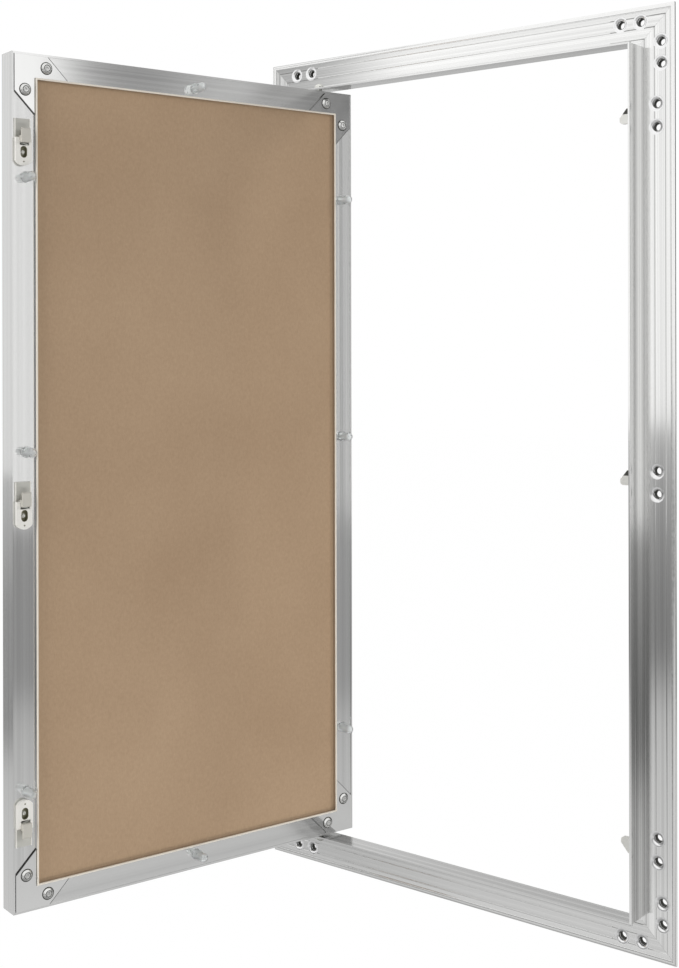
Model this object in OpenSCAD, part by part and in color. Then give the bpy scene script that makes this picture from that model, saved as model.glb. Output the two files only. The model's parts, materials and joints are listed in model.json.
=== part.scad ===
// Access panel with a hinged plasterboard leaf in an aluminium frame, millimetres.
// X runs along the width, Z is up and the room is on the -Y side.
// The origin is the middle of the opening, in the front plane of the frame's flange.

/* [Leaf] */
// Width of the leaf
leaf_w = 600; // [450:10:900]
// Height of the leaf
leaf_h = 1200; // [900:10:1500]
// Thickness of one of the two plasterboard layers
board_layer = 15; // [12.5:0.5:18]
// Wall of the leaf's edge profile
leaf_wall = 2; // [1.5:0.1:3]
// Width of the leaf's rear flange
leaf_flange_w = 37; // [34:1:45]
// Height of the lip round the inner edge of the rear flange
lip_h = 4.5; // [3:0.5:6]
// Thickness of that lip
lip_t = 2.5; // [1.5:0.5:3]

/* [Frame] */
// Gap between leaf and frame, all round
gap = 3; // [2.8:0.1:5]
// Wall of the frame profile
frame_wall = 2; // [1.5:0.1:3]
// Width of the frame's flange, from the opening to its outer edge
flange_w = 55; // [50:1:70]
// Depth of the upstand in front of the flange
upstand = 31; // [26:0.5:40]
// Thickness of the bead along the upstand's front edge
bead_t = 3.2; // [2.5:0.1:4]

/* [Pivot] */
// Distance from the leaf's hinge edge to the pivot
pivot_inset = 52; // [46:1:60]
// Distance from the leaf's front face to the pivot
pivot_front = 15.5; // [13:0.5:16]
// Diameter of the pivot bolt's shank
pin_d = 8; // [6:0.5:10]
// Angle at which the leaf stands open
open_angle = 104.5; // [0:0.5:130]

/* [Latches] */
// Distance from the leaf's top or bottom edge to the outer strikers
striker_inset = 94; // [80:1:150]
// Reach of a striker's tongue into the opening
tongue_reach = 30; // [27:0.5:31]
// Thickness of a striker's tongue
tongue_t = 6; // [4:0.5:6.5]
// Width of a latch housing
latch_w = 24; // [22:0.5:28]
// Length of a latch housing
latch_l = 66; // [62:1:75]
// Height of a latch housing above the leaf's rear face
latch_h = 13; // [12.5:0.5:16]
// Travel of a latch's catch
catch_travel = 10; // [8:0.5:10]

/* [Fasteners] */
// Head diameter of the hollow rivets in the frame
frame_rivet_d = 15; // [12:0.5:16]
// Head diameter of the rivets in the leaf
leaf_rivet_d = 16; // [12:0.5:17]
// Wall of the hollow rivets in the frame
rivet_tube_w = 0.8; // [0.6:0.1:1.4]
// Shank diameter of the rivets in the leaf
rivet_shank_d = 4.8; // [4:0.2:5.4]
// Thickness of the corner brackets behind the frame
bracket_t = 2.5; // [2:0.5:4]
// Thickness of the corner plates on the leaf
plate_t = 2.2; // [1:0.1:2.5]
// Height of the caps over the board screws' points
cap_h = 26; // [18:1:30]

/* [Hidden] */
$fn = 48;

// Colours
aluminium = "#b9babb";
kraft_paper = "#9c836a";
face_paper = "#e4e0d6";
nylon = "#efece4";
catch_grey = "#c9c8c4";
zinc = "#c4c6c8";
clear_plastic = "#d5d8d8";

// Small amounts shared by all pieces
skim = 0.05;
mitre_gap = 0.1;
fit_gap = 0.3;
over = 1;

// Depths, with the flange's front plane at 0
leaf_depth = 2 * board_layer + leaf_wall;
leaf_front_y = -upstand;
leaf_rear_y = leaf_front_y + leaf_depth;

// Opening in the frame, and the frame's outer edges from the centre
open_w = leaf_w + 2 * gap;
open_h = leaf_h + 2 * gap;
outer_x = open_w / 2 + flange_w;
outer_z = open_h / 2 + flange_w;

// Lines rolled into the frame profile, from the outer edge and from the front edge
edge_strip_w = 7;
edge_strip_h = 0.8;
groove_lines = [14, 30, 45];
groove_depth = 0.7;
bead_l = 4;

// Pivot axis
pivot_x = -leaf_w / 2 + pivot_inset;
pivot_y = leaf_front_y + pivot_front;

// Rivets in the frame: distances from the outer corner, from the outer edge, and dish size
corner_rivet_at = [51, 81];
corner_rivet_edge = 20.7;
striker_rivet_edge = 27.6;
striker_rivet_pitch = 32;
rivet_hole_gap = 0.1;
dish_rim_w = 4;
dish_d = frame_rivet_d + 2 * dish_rim_w;
dish_depth = 1.1;
rivet_head_h = 0.75;
rivet_rim_w = 0.9;
frame_shank_d = frame_rivet_d - 2 * rivet_rim_w;
frame_bore_d = frame_shank_d - 2 * rivet_tube_w;
rivet_flare = 0.6;
rivet_bulge_w = 1.5;
rivet_bulge_h = 1.6;
rivet_barrel_h = 7;
bracket_w = 30;
bracket_leg = 98;
bracket_edge = corner_rivet_edge - bracket_w / 2;

// Strikers: riveted plate, block behind the flange and tongue
striker_z = leaf_h / 2 - striker_inset;
striker_plate_t = 2;
striker_plate_h = 52;
striker_plate_edge = 14;
striker_block_l = 17;
tongue_up = 15;
tongue_down = 6.5;
tongue_tip = 1.8;
tongue_r = tongue_down - tongue_tip;
tongue_slope = 40;
tongue_flare = 3;
tongue_clear = 4;
tongue_y0 = leaf_rear_y + tongue_clear;
tongue_y1 = tongue_y0 + tongue_t;

// Pivot pieces
bush_wall = 2;
bush_d = pin_d + 2 * bush_wall;
bush_rim_w = 3;
bush_flange_d = bush_d + 2 * bush_rim_w;
bush_flange_t = 1.5;
bolt_rim_w = 4;
bolt_head_d = pin_d + 2 * bolt_rim_w;
bolt_skirt_h = 3.5;
bolt_dome_h = 5;
bolt_dome_r = arc_radius(bolt_head_d, bolt_dome_h);
bolt_socket_d = 5;
bolt_depth = 14;
block_l = 44;
block_h = 16;
block_y = 20;

// Leaf corner plates and rivets
plate_edge = 3.4;
plate_leg = 55;
leaf_rivet_at = 52;
leaf_rivet_edge = 19.4;
leaf_rivet_h = 3.4;
leaf_rivet_edge_h = 0.8;
leaf_rivet_slope_w = 2.6;
leaf_rivet_dish_h = 0.7;
leaf_rivet_dish_rim = 1;
leaf_rivet_bore_d = 3;
outer_ridge_w = 3;
outer_ridge_h = 0.8;

// Boards and their screws: distances of the caps from the latches, and from the leaf's edge
board_w = leaf_w - 2 * (leaf_wall + fit_gap);
board_h = leaf_h - 2 * (leaf_wall + fit_gap);
screw_past_latch = [7, 33, 1.5];
screw_edge = 21;
screw_d = 4;
screw_head_d = 8.5;
screw_head_h = 3.4;
screw_point = 14;
cap_d = 14;
cap_foot_d = 16;
cap_foot_h = 1.2;
cap_tip_d = 12.6;
cap_bore = screw_d + 0.2;

// Latches, measured from the mouth end along the latch and from the leaf's edge across it
latch_edge = 3;
latch_x = leaf_w / 2 - latch_edge - latch_w / 2;
latch_mouth_past = 1;
latch_base = 2;
latch_body_h = 7;
latch_rim = 1.4;
mouth_side_h = 3.2;
mouth_l = 18;
step_l = 9;
bay_l = 20;
low_wall_l = 7.5;
low_wall_h = 5;
end_sag = 7;
end_r = arc_radius(latch_w, end_sag);
catch_side = 4.4;
catch_w = 13.4;
catch_x = -latch_w / 2 + catch_side;
spring_room = 4;
catch_l = bay_l - spring_room;
catch_nose_l = 4;
catch_end_gap = 0.5;
catch_under = catch_travel + catch_end_gap;
catch_foot = latch_base + fit_gap;
runner_w = 1.2;
runner_h = 1.7;
runner_l = 6;
nose_y0 = tongue_clear + tongue_t + fit_gap;
spring_t = 0.5;
latch_screw_at = 47;
latch_screw_d = 3.5;
latch_screw_head_d = 7;
latch_screw_top_d = 4.2;
latch_screw_head_h = 2.2;
driver_slot_w = 1;
screw_slot_l = 10;
screw_well_w = 10;
pin_hole_at = 60.5;
pin_hole_d = 2.4;

// Radius of the arc over a chord of the given width with the given rise
function arc_radius(chord, rise) = (chord * chord / 4 + rise * rise) / (2 * rise);

// Turns a piece of the closed leaf to the open angle
module on_leaf() {
    translate([pivot_x, pivot_y, 0])
        rotate([0, 0, -open_angle])
            translate([-pivot_x, -pivot_y, 0])
                children();
}

// Carries a profile along X: profile x becomes depth Y, profile y becomes height Z
module along_x(length) {
    rotate([90, 0, 90])
        linear_extrude(length, center = true)
            children();
}

// Draws a plate in the XZ plane, from depth y0 to y1
module plate_xz(y0, y1) {
    translate([0, y1, 0])
        rotate([90, 0, 0])
            linear_extrude(y1 - y0)
                children();
}

// A round hole or pin along Y, from depth y0 to y1
module pin_y(x, z, y0, y1, d) {
    translate([x, y0, z])
        rotate([-90, 0, 0])
            cylinder(h = y1 - y0, d = d);
}

// A round that tapers along Y, from diameter d0 at y0 to d1 at y1
module taper_y(x, z, y0, y1, d0, d1) {
    translate([x, y0, z])
        rotate([-90, 0, 0])
            cylinder(h = y1 - y0, d1 = d0, d2 = d1);
}

// Section of the frame: x is depth, y is distance out from the opening
module frame_profile() {
    difference() {
        union() {
            translate([-upstand, 0])
                square([upstand + frame_wall, frame_wall]);
            square([frame_wall, flange_w]);
            translate([-upstand + bead_t / 2, bead_t / 2])
                circle(d = bead_t);
            translate([-upstand + bead_t / 2, 0])
                square([bead_l - bead_t / 2, bead_t]);
            translate([-edge_strip_h, flange_w - edge_strip_w])
                square([edge_strip_h + frame_wall, edge_strip_w]);
        }
        for (line = groove_lines)
            translate([0, flange_w - line])
                rotate(45)
                    square(groove_depth * sqrt(2), center = true);
        translate([-upstand / 2, frame_wall])
            rotate(45)
                square(groove_depth * sqrt(2), center = true);
        translate([-upstand - over, -over])
            square([bead_t / 2 + over, over]);
    }
}

// A frame rail over the opening: run is half the opening along it, reach half across it
module frame_rail(run, reach) {
    intersection() {
        translate([0, 0, reach])
            along_x(2 * (run + flange_w))
                frame_profile();
        plate_xz(-upstand - over, frame_wall + over)
            polygon([
                [-run + over + mitre_gap, reach - over],
                [run - over - mitre_gap, reach - over],
                [run + flange_w + over - mitre_gap, reach + flange_w + over],
                [-run - flange_w - over + mitre_gap, reach + flange_w + over]
            ]);
    }
}

// Dishes and holes for rivets in a frame flange, at points [along, out from the centre]
module flange_rivet_cuts(points) {
    for (p = points) {
        taper_y(p[0], p[1], -skim, dish_depth, dish_d, frame_rivet_d);
        pin_y(p[0], p[1], -over, frame_wall + over, frame_shank_d + rivet_hole_gap);
    }
}

// Corner rivet points on a rail with the given half opening along and across it
function corner_points(run, reach) = [
    for (side = [-1, 1], at = corner_rivet_at)
        [side * (run + flange_w - at), reach + flange_w - corner_rivet_edge]
];

// Striker rivet points on the latch jamb, along it and out from the centre
function striker_points() = [
    for (at = [-striker_z, 0, striker_z], side = [-1, 1])
        [at + side * striker_rivet_pitch / 2, outer_x - striker_rivet_edge]
];

// The cross rail over the leaf's top, with its rivet holes and its pivot bore
module cross_rail() {
    difference() {
        frame_rail(open_w / 2, open_h / 2);
        flange_rivet_cuts(corner_points(open_w / 2, open_h / 2));
        translate([pivot_x, pivot_y, open_h / 2 - over])
            cylinder(h = bead_t + 2 * over, d = bush_d);
    }
}

module frame_top_rail() {
    color(aluminium) cross_rail();
}

module frame_bottom_rail() {
    color(aluminium) mirror([0, 0, 1]) cross_rail();
}

module frame_hinge_jamb() {
    color(aluminium)
        rotate([0, -90, 0])
            difference() {
                frame_rail(open_h / 2, open_w / 2);
                flange_rivet_cuts(corner_points(open_h / 2, open_w / 2));
            }
}

module frame_latch_jamb() {
    color(aluminium)
        rotate([0, 90, 0])
            difference() {
                frame_rail(open_h / 2, open_w / 2);
                flange_rivet_cuts(corner_points(open_h / 2, open_w / 2));
                flange_rivet_cuts(striker_points());
            }
}

// A hollow rivet through the frame flange and a plate of thickness t: rim, bulge behind the plate, open barrel
module frame_rivet(x, z, t) {
    head_y = dish_depth - rivet_head_h;
    plate_y = frame_wall + t;
    end_y = plate_y + rivet_barrel_h;
    difference() {
        union() {
            pin_y(x, z, head_y, end_y, frame_shank_d);
            pin_y(x, z, head_y, dish_depth, frame_rivet_d - 2 * rivet_hole_gap);
            taper_y(x, z, plate_y, plate_y + rivet_bulge_h, frame_shank_d + 2 * rivet_bulge_w, frame_shank_d);
        }
        pin_y(x, z, head_y - over, end_y + over, frame_bore_d);
        taper_y(x, z, head_y - skim, head_y + rivet_flare, frame_bore_d + 2 * rivet_flare, frame_bore_d);
    }
}

// Places a piece drawn at the top latch corner at the corner with the given signs
module at_corner(side_x, side_z) {
    mirror([side_x < 0 ? 1 : 0, 0, 0])
        mirror([0, 0, side_z < 0 ? 1 : 0])
            children();
}

// Angle bracket behind a frame corner, bevelled at the outer corner and the leg ends
module frame_bracket(side_x, side_z) {
    x1 = outer_x - bracket_edge;
    z1 = outer_z - bracket_edge;
    bevel = bracket_w / 4;
    color(aluminium)
        at_corner(side_x, side_z)
            difference() {
                plate_xz(frame_wall, frame_wall + bracket_t)
                    polygon([
                        [x1 - bracket_leg, z1], [x1 - bevel, z1], [x1, z1 - bevel],
                        [x1, z1 - bracket_leg], [x1 - bracket_w + bevel, z1 - bracket_leg],
                        [x1 - bracket_w, z1 - bracket_leg + bevel],
                        [x1 - bracket_w, z1 - bracket_w],
                        [x1 - bracket_leg + bevel, z1 - bracket_w],
                        [x1 - bracket_leg, z1 - bracket_w + bevel]
                    ]);
                for (at = corner_rivet_at) {
                    bracket_hole(outer_x - at, outer_z - corner_rivet_edge);
                    bracket_hole(outer_x - corner_rivet_edge, outer_z - at);
                }
            }
}

module bracket_hole(x, z) {
    pin_y(x, z, frame_wall - over, frame_wall + bracket_t + over, frame_shank_d + rivet_hole_gap);
}

module frame_bracket_top_hinge() { frame_bracket(-1, 1); }
module frame_bracket_top_latch() { frame_bracket(1, 1); }
module frame_bracket_bottom_hinge() { frame_bracket(-1, -1); }
module frame_bracket_bottom_latch() { frame_bracket(1, -1); }

module frame_corner_rivets() {
    color(zinc)
        for (side_x = [-1, 1], side_z = [-1, 1], at = corner_rivet_at)
            at_corner(side_x, side_z) {
                frame_rivet(outer_x - at, outer_z - corner_rivet_edge, bracket_t);
                frame_rivet(outer_x - corner_rivet_edge, outer_z - at, bracket_t);
            }
}

// Outline of a striker's tongue: x is the reach into the opening, y is up from its tip
module tongue_outline() {
    round_x = tongue_reach - tongue_r;
    slope_x = tongue_reach - (tongue_up - tongue_tip) * tan(tongue_slope);
    flare_x = tongue_reach / 2;
    translate([round_x, -tongue_tip])
        circle(r = tongue_r);
    polygon([
        [0, -tongue_down - tongue_flare], [flare_x - tongue_flare, -tongue_down - tongue_flare],
        [flare_x, -tongue_down], [round_x, -tongue_down], [round_x, -tongue_tip],
        [tongue_reach, -tongue_tip], [tongue_reach, tongue_tip], [slope_x, tongue_up], [0, tongue_up]
    ]);
}

// A striker: riveted plate behind the jamb, block on it, and a sloped tongue that reaches into the opening
module striker(at, flip) {
    plate_x1 = flange_w - striker_plate_edge;
    color(zinc)
        translate([open_w / 2, 0, at])
            mirror([0, 0, flip ? 1 : 0])
                difference() {
                    union() {
                        plate_xz(frame_wall, frame_wall + striker_plate_t)
                            translate([0, -striker_plate_h / 2])
                                square([plate_x1, striker_plate_h]);
                        plate_xz(frame_wall, tongue_y1)
                            translate([0, -tongue_down - tongue_flare])
                                square([striker_block_l, tongue_up + tongue_down + tongue_flare]);
                        plate_xz(tongue_y0, tongue_y1)
                            mirror([1, 0]) tongue_outline();
                    }
                    for (side = [-1, 1])
                        pin_y(flange_w - striker_rivet_edge, side * striker_rivet_pitch / 2,
                            frame_wall - over, frame_wall + striker_plate_t + over,
                            frame_shank_d + rivet_hole_gap);
                }
}

module striker_top() { striker(striker_z, false); }
module striker_middle() { striker(0, false); }
module striker_bottom() { striker(-striker_z, true); }

module striker_rivets() {
    color(zinc)
        for (p = striker_points())
            frame_rivet(p[1], p[0], striker_plate_t);
}

// Pivot at the leaf's top: flanged bush in the rail, bolt through it into a block in the leaf
module pivot_bush(side_z) {
    color(nylon)
        mirror([0, 0, side_z < 0 ? 1 : 0])
            translate([pivot_x, pivot_y, open_h / 2])
                difference() {
                    union() {
                        cylinder(h = frame_wall, d = bush_d - 2 * skim);
                        translate([0, 0, frame_wall])
                            cylinder(h = bush_flange_t, d = bush_flange_d);
                    }
                    translate([0, 0, -over])
                        cylinder(h = frame_wall + bush_flange_t + 2 * over, d = pin_d + 2 * skim);
                }
}

module pivot_bush_top() { pivot_bush(1); }
module pivot_bush_bottom() { pivot_bush(-1); }

// Domed bolt: shank from the leaf's block to the head, which turns on the bush
module pivot_bolt(side_z) {
    head_z = open_h / 2 + frame_wall + bush_flange_t + fit_gap;
    tip_z = leaf_h / 2 - bolt_depth;
    head_h = bolt_skirt_h + bolt_dome_h;
    color(zinc)
        mirror([0, 0, side_z < 0 ? 1 : 0])
            translate([pivot_x, pivot_y, 0])
                difference() {
                    union() {
                        translate([0, 0, tip_z])
                            cylinder(h = head_z - tip_z + over, d = pin_d);
                        translate([0, 0, head_z])
                            cylinder(h = bolt_skirt_h, d = bolt_head_d);
                        intersection() {
                            translate([0, 0, head_z + head_h - bolt_dome_r])
                                sphere(r = bolt_dome_r);
                            translate([0, 0, head_z + over])
                                cylinder(h = head_h, d = bolt_head_d);
                        }
                    }
                    translate([0, 0, head_z + bolt_skirt_h])
                        cylinder(h = bolt_dome_h + over, d = bolt_socket_d, $fn = 6);
                }
}

module pivot_bolt_top() { on_leaf() pivot_bolt(1); }
module pivot_bolt_bottom() { on_leaf() pivot_bolt(-1); }

// Threaded block behind the leaf's edge wall; grow widens it for the pocket in the boards
module block_body(grow) {
    body_h = block_h + grow;
    translate([pivot_x, pivot_y, leaf_h / 2 - leaf_wall - body_h / 2])
        cube([block_l + 2 * grow, block_y + 2 * grow, body_h], center = true);
}

module pivot_block(side_z) {
    color(zinc)
        mirror([0, 0, side_z < 0 ? 1 : 0])
            difference() {
                block_body(0);
                translate([pivot_x, pivot_y, leaf_h / 2 - leaf_wall - block_h - over])
                    cylinder(h = block_h + 2 * over, d = pin_d + 2 * skim);
            }
}

module pivot_block_top() { on_leaf() pivot_block(1); }
module pivot_block_bottom() { on_leaf() pivot_block(-1); }

// Section of the leaf's edge: x is depth, y is distance in from the leaf's outer edge
module leaf_profile() {
    translate([leaf_front_y, 0])
        square([leaf_depth, leaf_wall]);
    translate([leaf_rear_y - leaf_wall, 0])
        square([leaf_wall, leaf_flange_w]);
    translate([leaf_rear_y - leaf_wall, leaf_flange_w - lip_t])
        square([leaf_wall + lip_h, lip_t]);
    translate([leaf_rear_y - leaf_wall, 0])
        square([leaf_wall + outer_ridge_h, outer_ridge_w]);
}

// A leaf edge: run is half the leaf's size along it, reach half across it
module leaf_rail(run, reach) {
    intersection() {
        translate([0, 0, reach])
            mirror([0, 0, 1])
                along_x(2 * run)
                    leaf_profile();
        plate_xz(leaf_front_y - over, leaf_rear_y + lip_h + over)
            polygon([
                [-run - over + mitre_gap, reach + over], [run + over - mitre_gap, reach + over],
                [run - leaf_flange_w - over - mitre_gap, reach - leaf_flange_w - over],
                [-run + leaf_flange_w + over + mitre_gap, reach - leaf_flange_w - over]
            ]);
    }
}

// Rivet points on a leaf edge, along it and out from the centre
function leaf_points(run, reach) = [
    for (side = [-1, 1]) [side * (run - leaf_rivet_at), reach - leaf_rivet_edge]
];

module leaf_holes(points, d) {
    for (p = points)
        pin_y(p[0], p[1], leaf_rear_y - leaf_wall - over, leaf_rear_y + over, d);
}

// Board screw points on the stiles, along them from the centre and out from the centre
function stile_screws() = [
    for (z = [
        striker_z + latch_mouth_past - latch_l - cap_foot_d / 2 - screw_past_latch[0],
        latch_mouth_past + cap_foot_d / 2 + screw_past_latch[1],
        -striker_z - latch_mouth_past + latch_l + cap_foot_d / 2 + screw_past_latch[2]
    ]) [z, leaf_w / 2 - screw_edge]
];

module leaf_cross_rail() {
    difference() {
        leaf_rail(leaf_w / 2, leaf_h / 2);
        leaf_holes(leaf_points(leaf_w / 2, leaf_h / 2), rivet_shank_d + rivet_hole_gap);
        leaf_holes([[0, leaf_h / 2 - screw_edge]], screw_d + 2 * skim);
        translate([pivot_x, pivot_y, leaf_h / 2 - leaf_wall - over])
            cylinder(h = leaf_wall + 2 * over, d = pin_d + 2 * skim);
    }
}

module leaf_top_rail() {
    color(aluminium) on_leaf() leaf_cross_rail();
}

module leaf_bottom_rail() {
    color(aluminium) on_leaf() mirror([0, 0, 1]) leaf_cross_rail();
}

// A leaf stile drawn as an upper edge; turned by the caller, so screws run the given way along it
module leaf_stile(way) {
    difference() {
        leaf_rail(leaf_h / 2, leaf_w / 2);
        leaf_holes(leaf_points(leaf_h / 2, leaf_w / 2), rivet_shank_d + rivet_hole_gap);
        leaf_holes([for (p = stile_screws()) [way * p[0], p[1]]], screw_d + 2 * skim);
    }
}

module leaf_hinge_stile() {
    color(aluminium) on_leaf() rotate([0, -90, 0]) leaf_stile(1);
}

module leaf_latch_stile() {
    color(aluminium)
        on_leaf()
            difference() {
                rotate([0, 90, 0]) leaf_stile(-1);
                for (at = latch_places())
                    translate([latch_x, 0, at[0]])
                        mirror([0, 0, at[1] ? 1 : 0])
                            pin_y(0, -latch_screw_at, leaf_rear_y - leaf_wall - over,
                                leaf_rear_y + over, latch_screw_d + 2 * skim);
            }
}

// Corner plate on the leaf's rear face, with ends cut at 45 degrees
module leaf_plate(side_x, side_z) {
    inner = leaf_flange_w - lip_t - fit_gap;
    end_in = plate_leg + inner - plate_edge;
    color(aluminium)
        on_leaf()
            at_corner(side_x, side_z)
                difference() {
                    plate_xz(leaf_rear_y, leaf_rear_y + plate_t)
                        translate([leaf_w / 2, leaf_h / 2])
                            polygon([
                                [-plate_edge, -plate_edge], [-plate_leg, -plate_edge], [-end_in, -inner],
                                [-inner, -inner], [-inner, -end_in], [-plate_edge, -plate_leg]
                            ]);
                    pin_y(leaf_w / 2 - leaf_rivet_at, leaf_h / 2 - leaf_rivet_edge,
                        leaf_rear_y - over, leaf_rear_y + plate_t + over, rivet_shank_d + rivet_hole_gap);
                    pin_y(leaf_w / 2 - leaf_rivet_edge, leaf_h / 2 - leaf_rivet_at,
                        leaf_rear_y - over, leaf_rear_y + plate_t + over, rivet_shank_d + rivet_hole_gap);
                }
}

module leaf_plate_top_hinge() { leaf_plate(-1, 1); }
module leaf_plate_top_latch() { leaf_plate(1, 1); }
module leaf_plate_bottom_hinge() { leaf_plate(-1, -1); }
module leaf_plate_bottom_latch() { leaf_plate(1, -1); }

// Large-head rivet through a corner plate and the leaf's flange: coned sides and a dished top
module leaf_rivet(x, z) {
    y0 = leaf_rear_y + plate_t;
    y1 = y0 + leaf_rivet_h;
    top_d = leaf_rivet_d - 2 * leaf_rivet_slope_w;
    difference() {
        union() {
            pin_y(x, z, leaf_rear_y - leaf_wall, y0 + leaf_rivet_edge_h, rivet_shank_d);
            pin_y(x, z, y0, y0 + leaf_rivet_edge_h, leaf_rivet_d);
            taper_y(x, z, y0 + leaf_rivet_edge_h, y1, leaf_rivet_d, top_d);
        }
        taper_y(x, z, y1 - leaf_rivet_dish_h, y1 + skim, leaf_rivet_bore_d, top_d - 2 * leaf_rivet_dish_rim);
        pin_y(x, z, y0, y1 + over, leaf_rivet_bore_d);
    }
}

module leaf_corner_rivets() {
    color(zinc)
        on_leaf()
            for (side_x = [-1, 1], side_z = [-1, 1])
                at_corner(side_x, side_z) {
                    leaf_rivet(leaf_w / 2 - leaf_rivet_at, leaf_h / 2 - leaf_rivet_edge);
                    leaf_rivet(leaf_w / 2 - leaf_rivet_edge, leaf_h / 2 - leaf_rivet_at);
                }
}

// All board screw points in the leaf's plane
function board_points() = concat(
    [for (side = [-1, 1], p = stile_screws()) [side * p[1], p[0]]],
    [for (side = [-1, 1]) [0, side * (leaf_h / 2 - screw_edge)]]
);

// One board layer between two depths, with pockets for the pivot blocks and its screw holes
module board(y0, y1) {
    on_leaf()
        difference() {
            plate_xz(y0, y1)
                square([board_w, board_h], center = true);
            for (side_z = [0, 1])
                mirror([0, 0, side_z])
                    block_body(fit_gap);
            for (p = board_points()) {
                pin_y(p[0], p[1], y0 - over, y1 + over, screw_d + 2 * skim);
                taper_y(p[0], p[1], leaf_front_y, leaf_front_y + screw_head_h, screw_head_d, screw_d);
            }
        }
}

module board_front() {
    color(face_paper) board(leaf_front_y, leaf_front_y + board_layer);
}

module board_rear() {
    color(kraft_paper) board(leaf_front_y + board_layer, leaf_front_y + 2 * board_layer);
}

// Countersunk board screws, driven from the room side, with their points in the caps
module board_screws() {
    head_y = leaf_front_y + screw_head_h;
    tip_y = leaf_rear_y + screw_point;
    color(zinc)
        on_leaf()
            for (p = board_points()) {
                pin_y(p[0], p[1], leaf_front_y, tip_y - screw_d, screw_d);
                taper_y(p[0], p[1], leaf_front_y + skim, head_y, screw_head_d - 2 * skim, screw_d);
                taper_y(p[0], p[1], tip_y - screw_d, tip_y, screw_d, skim);
            }
}

// Soft clear caps over the screw points: foot, slightly tapered sleeve and domed end
module screw_caps() {
    dome = cap_tip_d / 2;
    color(clear_plastic)
        on_leaf()
            for (p = board_points())
                translate([p[0], leaf_rear_y, p[1]])
                    rotate([-90, 0, 0])
                        difference() {
                            union() {
                                cylinder(h = cap_foot_h, d = cap_foot_d);
                                cylinder(h = cap_h - dome, d1 = cap_d, d2 = cap_tip_d);
                                translate([0, 0, cap_h - dome])
                                    sphere(r = dome);
                            }
                            translate([0, 0, -over])
                                cylinder(h = screw_point + 2 * over, d = cap_bore);
                        }
}

// Height of each latch's mouth end, and whether it is turned over
function latch_places() = [
    [striker_z + latch_mouth_past, false],
    [latch_mouth_past, false],
    [-striker_z - latch_mouth_past, true]
];

// Places a latch piece drawn with its mouth end at 0, running down, and its depth from the rear face
module at_latch(index) {
    place = latch_places()[index];
    on_leaf()
        translate([latch_x, leaf_rear_y, place[0]])
            mirror([0, 0, place[1] ? 1 : 0])
                children();
}

// Outline of a latch housing from the given distance below its mouth end: straight sides, arched foot
module latch_outline(start) {
    intersection() {
        translate([-latch_w / 2, -latch_l])
            square([latch_w, latch_l - start]);
        union() {
            translate([0, -latch_l + end_r])
                circle(r = end_r);
            translate([-latch_w / 2, -latch_l + end_r])
                square([latch_w, latch_l]);
        }
    }
}

// Latch housing: floor with low rims, step, bay with runner grooves for the catch, and screw well
module latch_housing(index) {
    bay_end = -mouth_l - bay_l;
    bay_x = catch_x - fit_gap;
    bay_w = catch_w + 2 * fit_gap;
    color(nylon)
        at_latch(index)
            difference() {
                union() {
                    plate_xz(0, mouth_side_h) latch_outline(0);
                    plate_xz(0, latch_body_h) latch_outline(mouth_l + step_l);
                    translate([-latch_w / 2, 0, bay_end])
                        cube([catch_side, latch_body_h, bay_l - low_wall_l]);
                    translate([-latch_w / 2, 0, -mouth_l - low_wall_l])
                        cube([catch_side, low_wall_h, low_wall_l]);
                }
                translate([-latch_w / 2 + latch_rim, latch_base, -mouth_l])
                    cube([latch_w - 2 * latch_rim, latch_h, mouth_l + over]);
                translate([bay_x, latch_base, -mouth_l - step_l])
                    cube([latch_w / 2 - latch_rim - bay_x, latch_h, step_l + over]);
                translate([bay_x, latch_base, bay_end])
                    cube([bay_w, latch_h, bay_l + over]);
                translate([bay_x - runner_w, latch_base, bay_end])
                    cube([bay_w + 2 * runner_w, runner_h + 2 * fit_gap, bay_l + over]);
                screw_well();
                pin_y(0, -pin_hole_at, latch_base, latch_body_h + over, pin_hole_d);
            }
}

// Well for the fixing screw: a long recess, with a slot through the base below it
module screw_well() {
    plate_xz(latch_base, latch_body_h + over)
        slot_outline(screw_well_w);
    plate_xz(-over, latch_base + over)
        slot_outline(latch_screw_d + 2 * fit_gap);
}

module slot_outline(w) {
    for (side = [-1, 1])
        translate([0, -latch_screw_at + side * (screw_slot_l - latch_screw_d) / 2])
            circle(d = w);
    translate([-w / 2, -latch_screw_at - (screw_slot_l - latch_screw_d) / 2])
        square([w, screw_slot_l - latch_screw_d]);
}

module latch_housing_top() { latch_housing(0); }
module latch_housing_middle() { latch_housing(1); }
module latch_housing_bottom() { latch_housing(2); }

module latch_screws() {
    color(zinc)
        for (index = [0:2])
            at_latch(index)
                difference() {
                    union() {
                        pin_y(0, -latch_screw_at, -leaf_wall, latch_base + over, latch_screw_d);
                        taper_y(0, -latch_screw_at, latch_base, latch_base + latch_screw_head_h,
                            latch_screw_head_d, latch_screw_top_d);
                    }
                    translate([0, latch_base + latch_screw_head_h, -latch_screw_at])
                        cube([driver_slot_w, latch_screw_head_h, 2 * latch_screw_head_d], center = true);
                }
}

// Sliding catch: block on two runners, undercut at its head so that it passes behind the tongue
module latch_catch(index) {
    foot_z = -mouth_l - catch_l;
    head_z = -mouth_l + catch_nose_l;
    bevel = (latch_h - nose_y0) / 2;
    color(catch_grey)
        at_latch(index) {
            translate([catch_x, 0, 0])
                rotate([90, 0, 90])
                    linear_extrude(catch_w)
                        polygon([
                            [catch_foot, foot_z], [latch_h, foot_z], [latch_h, head_z - bevel],
                            [latch_h - bevel, head_z], [nose_y0, head_z],
                            [nose_y0, head_z - catch_under], [catch_foot, head_z - catch_under]
                        ]);
            translate([catch_x - runner_w + fit_gap, catch_foot, foot_z])
                cube([catch_w + 2 * (runner_w - fit_gap), runner_h, runner_l]);
        }
}

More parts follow.
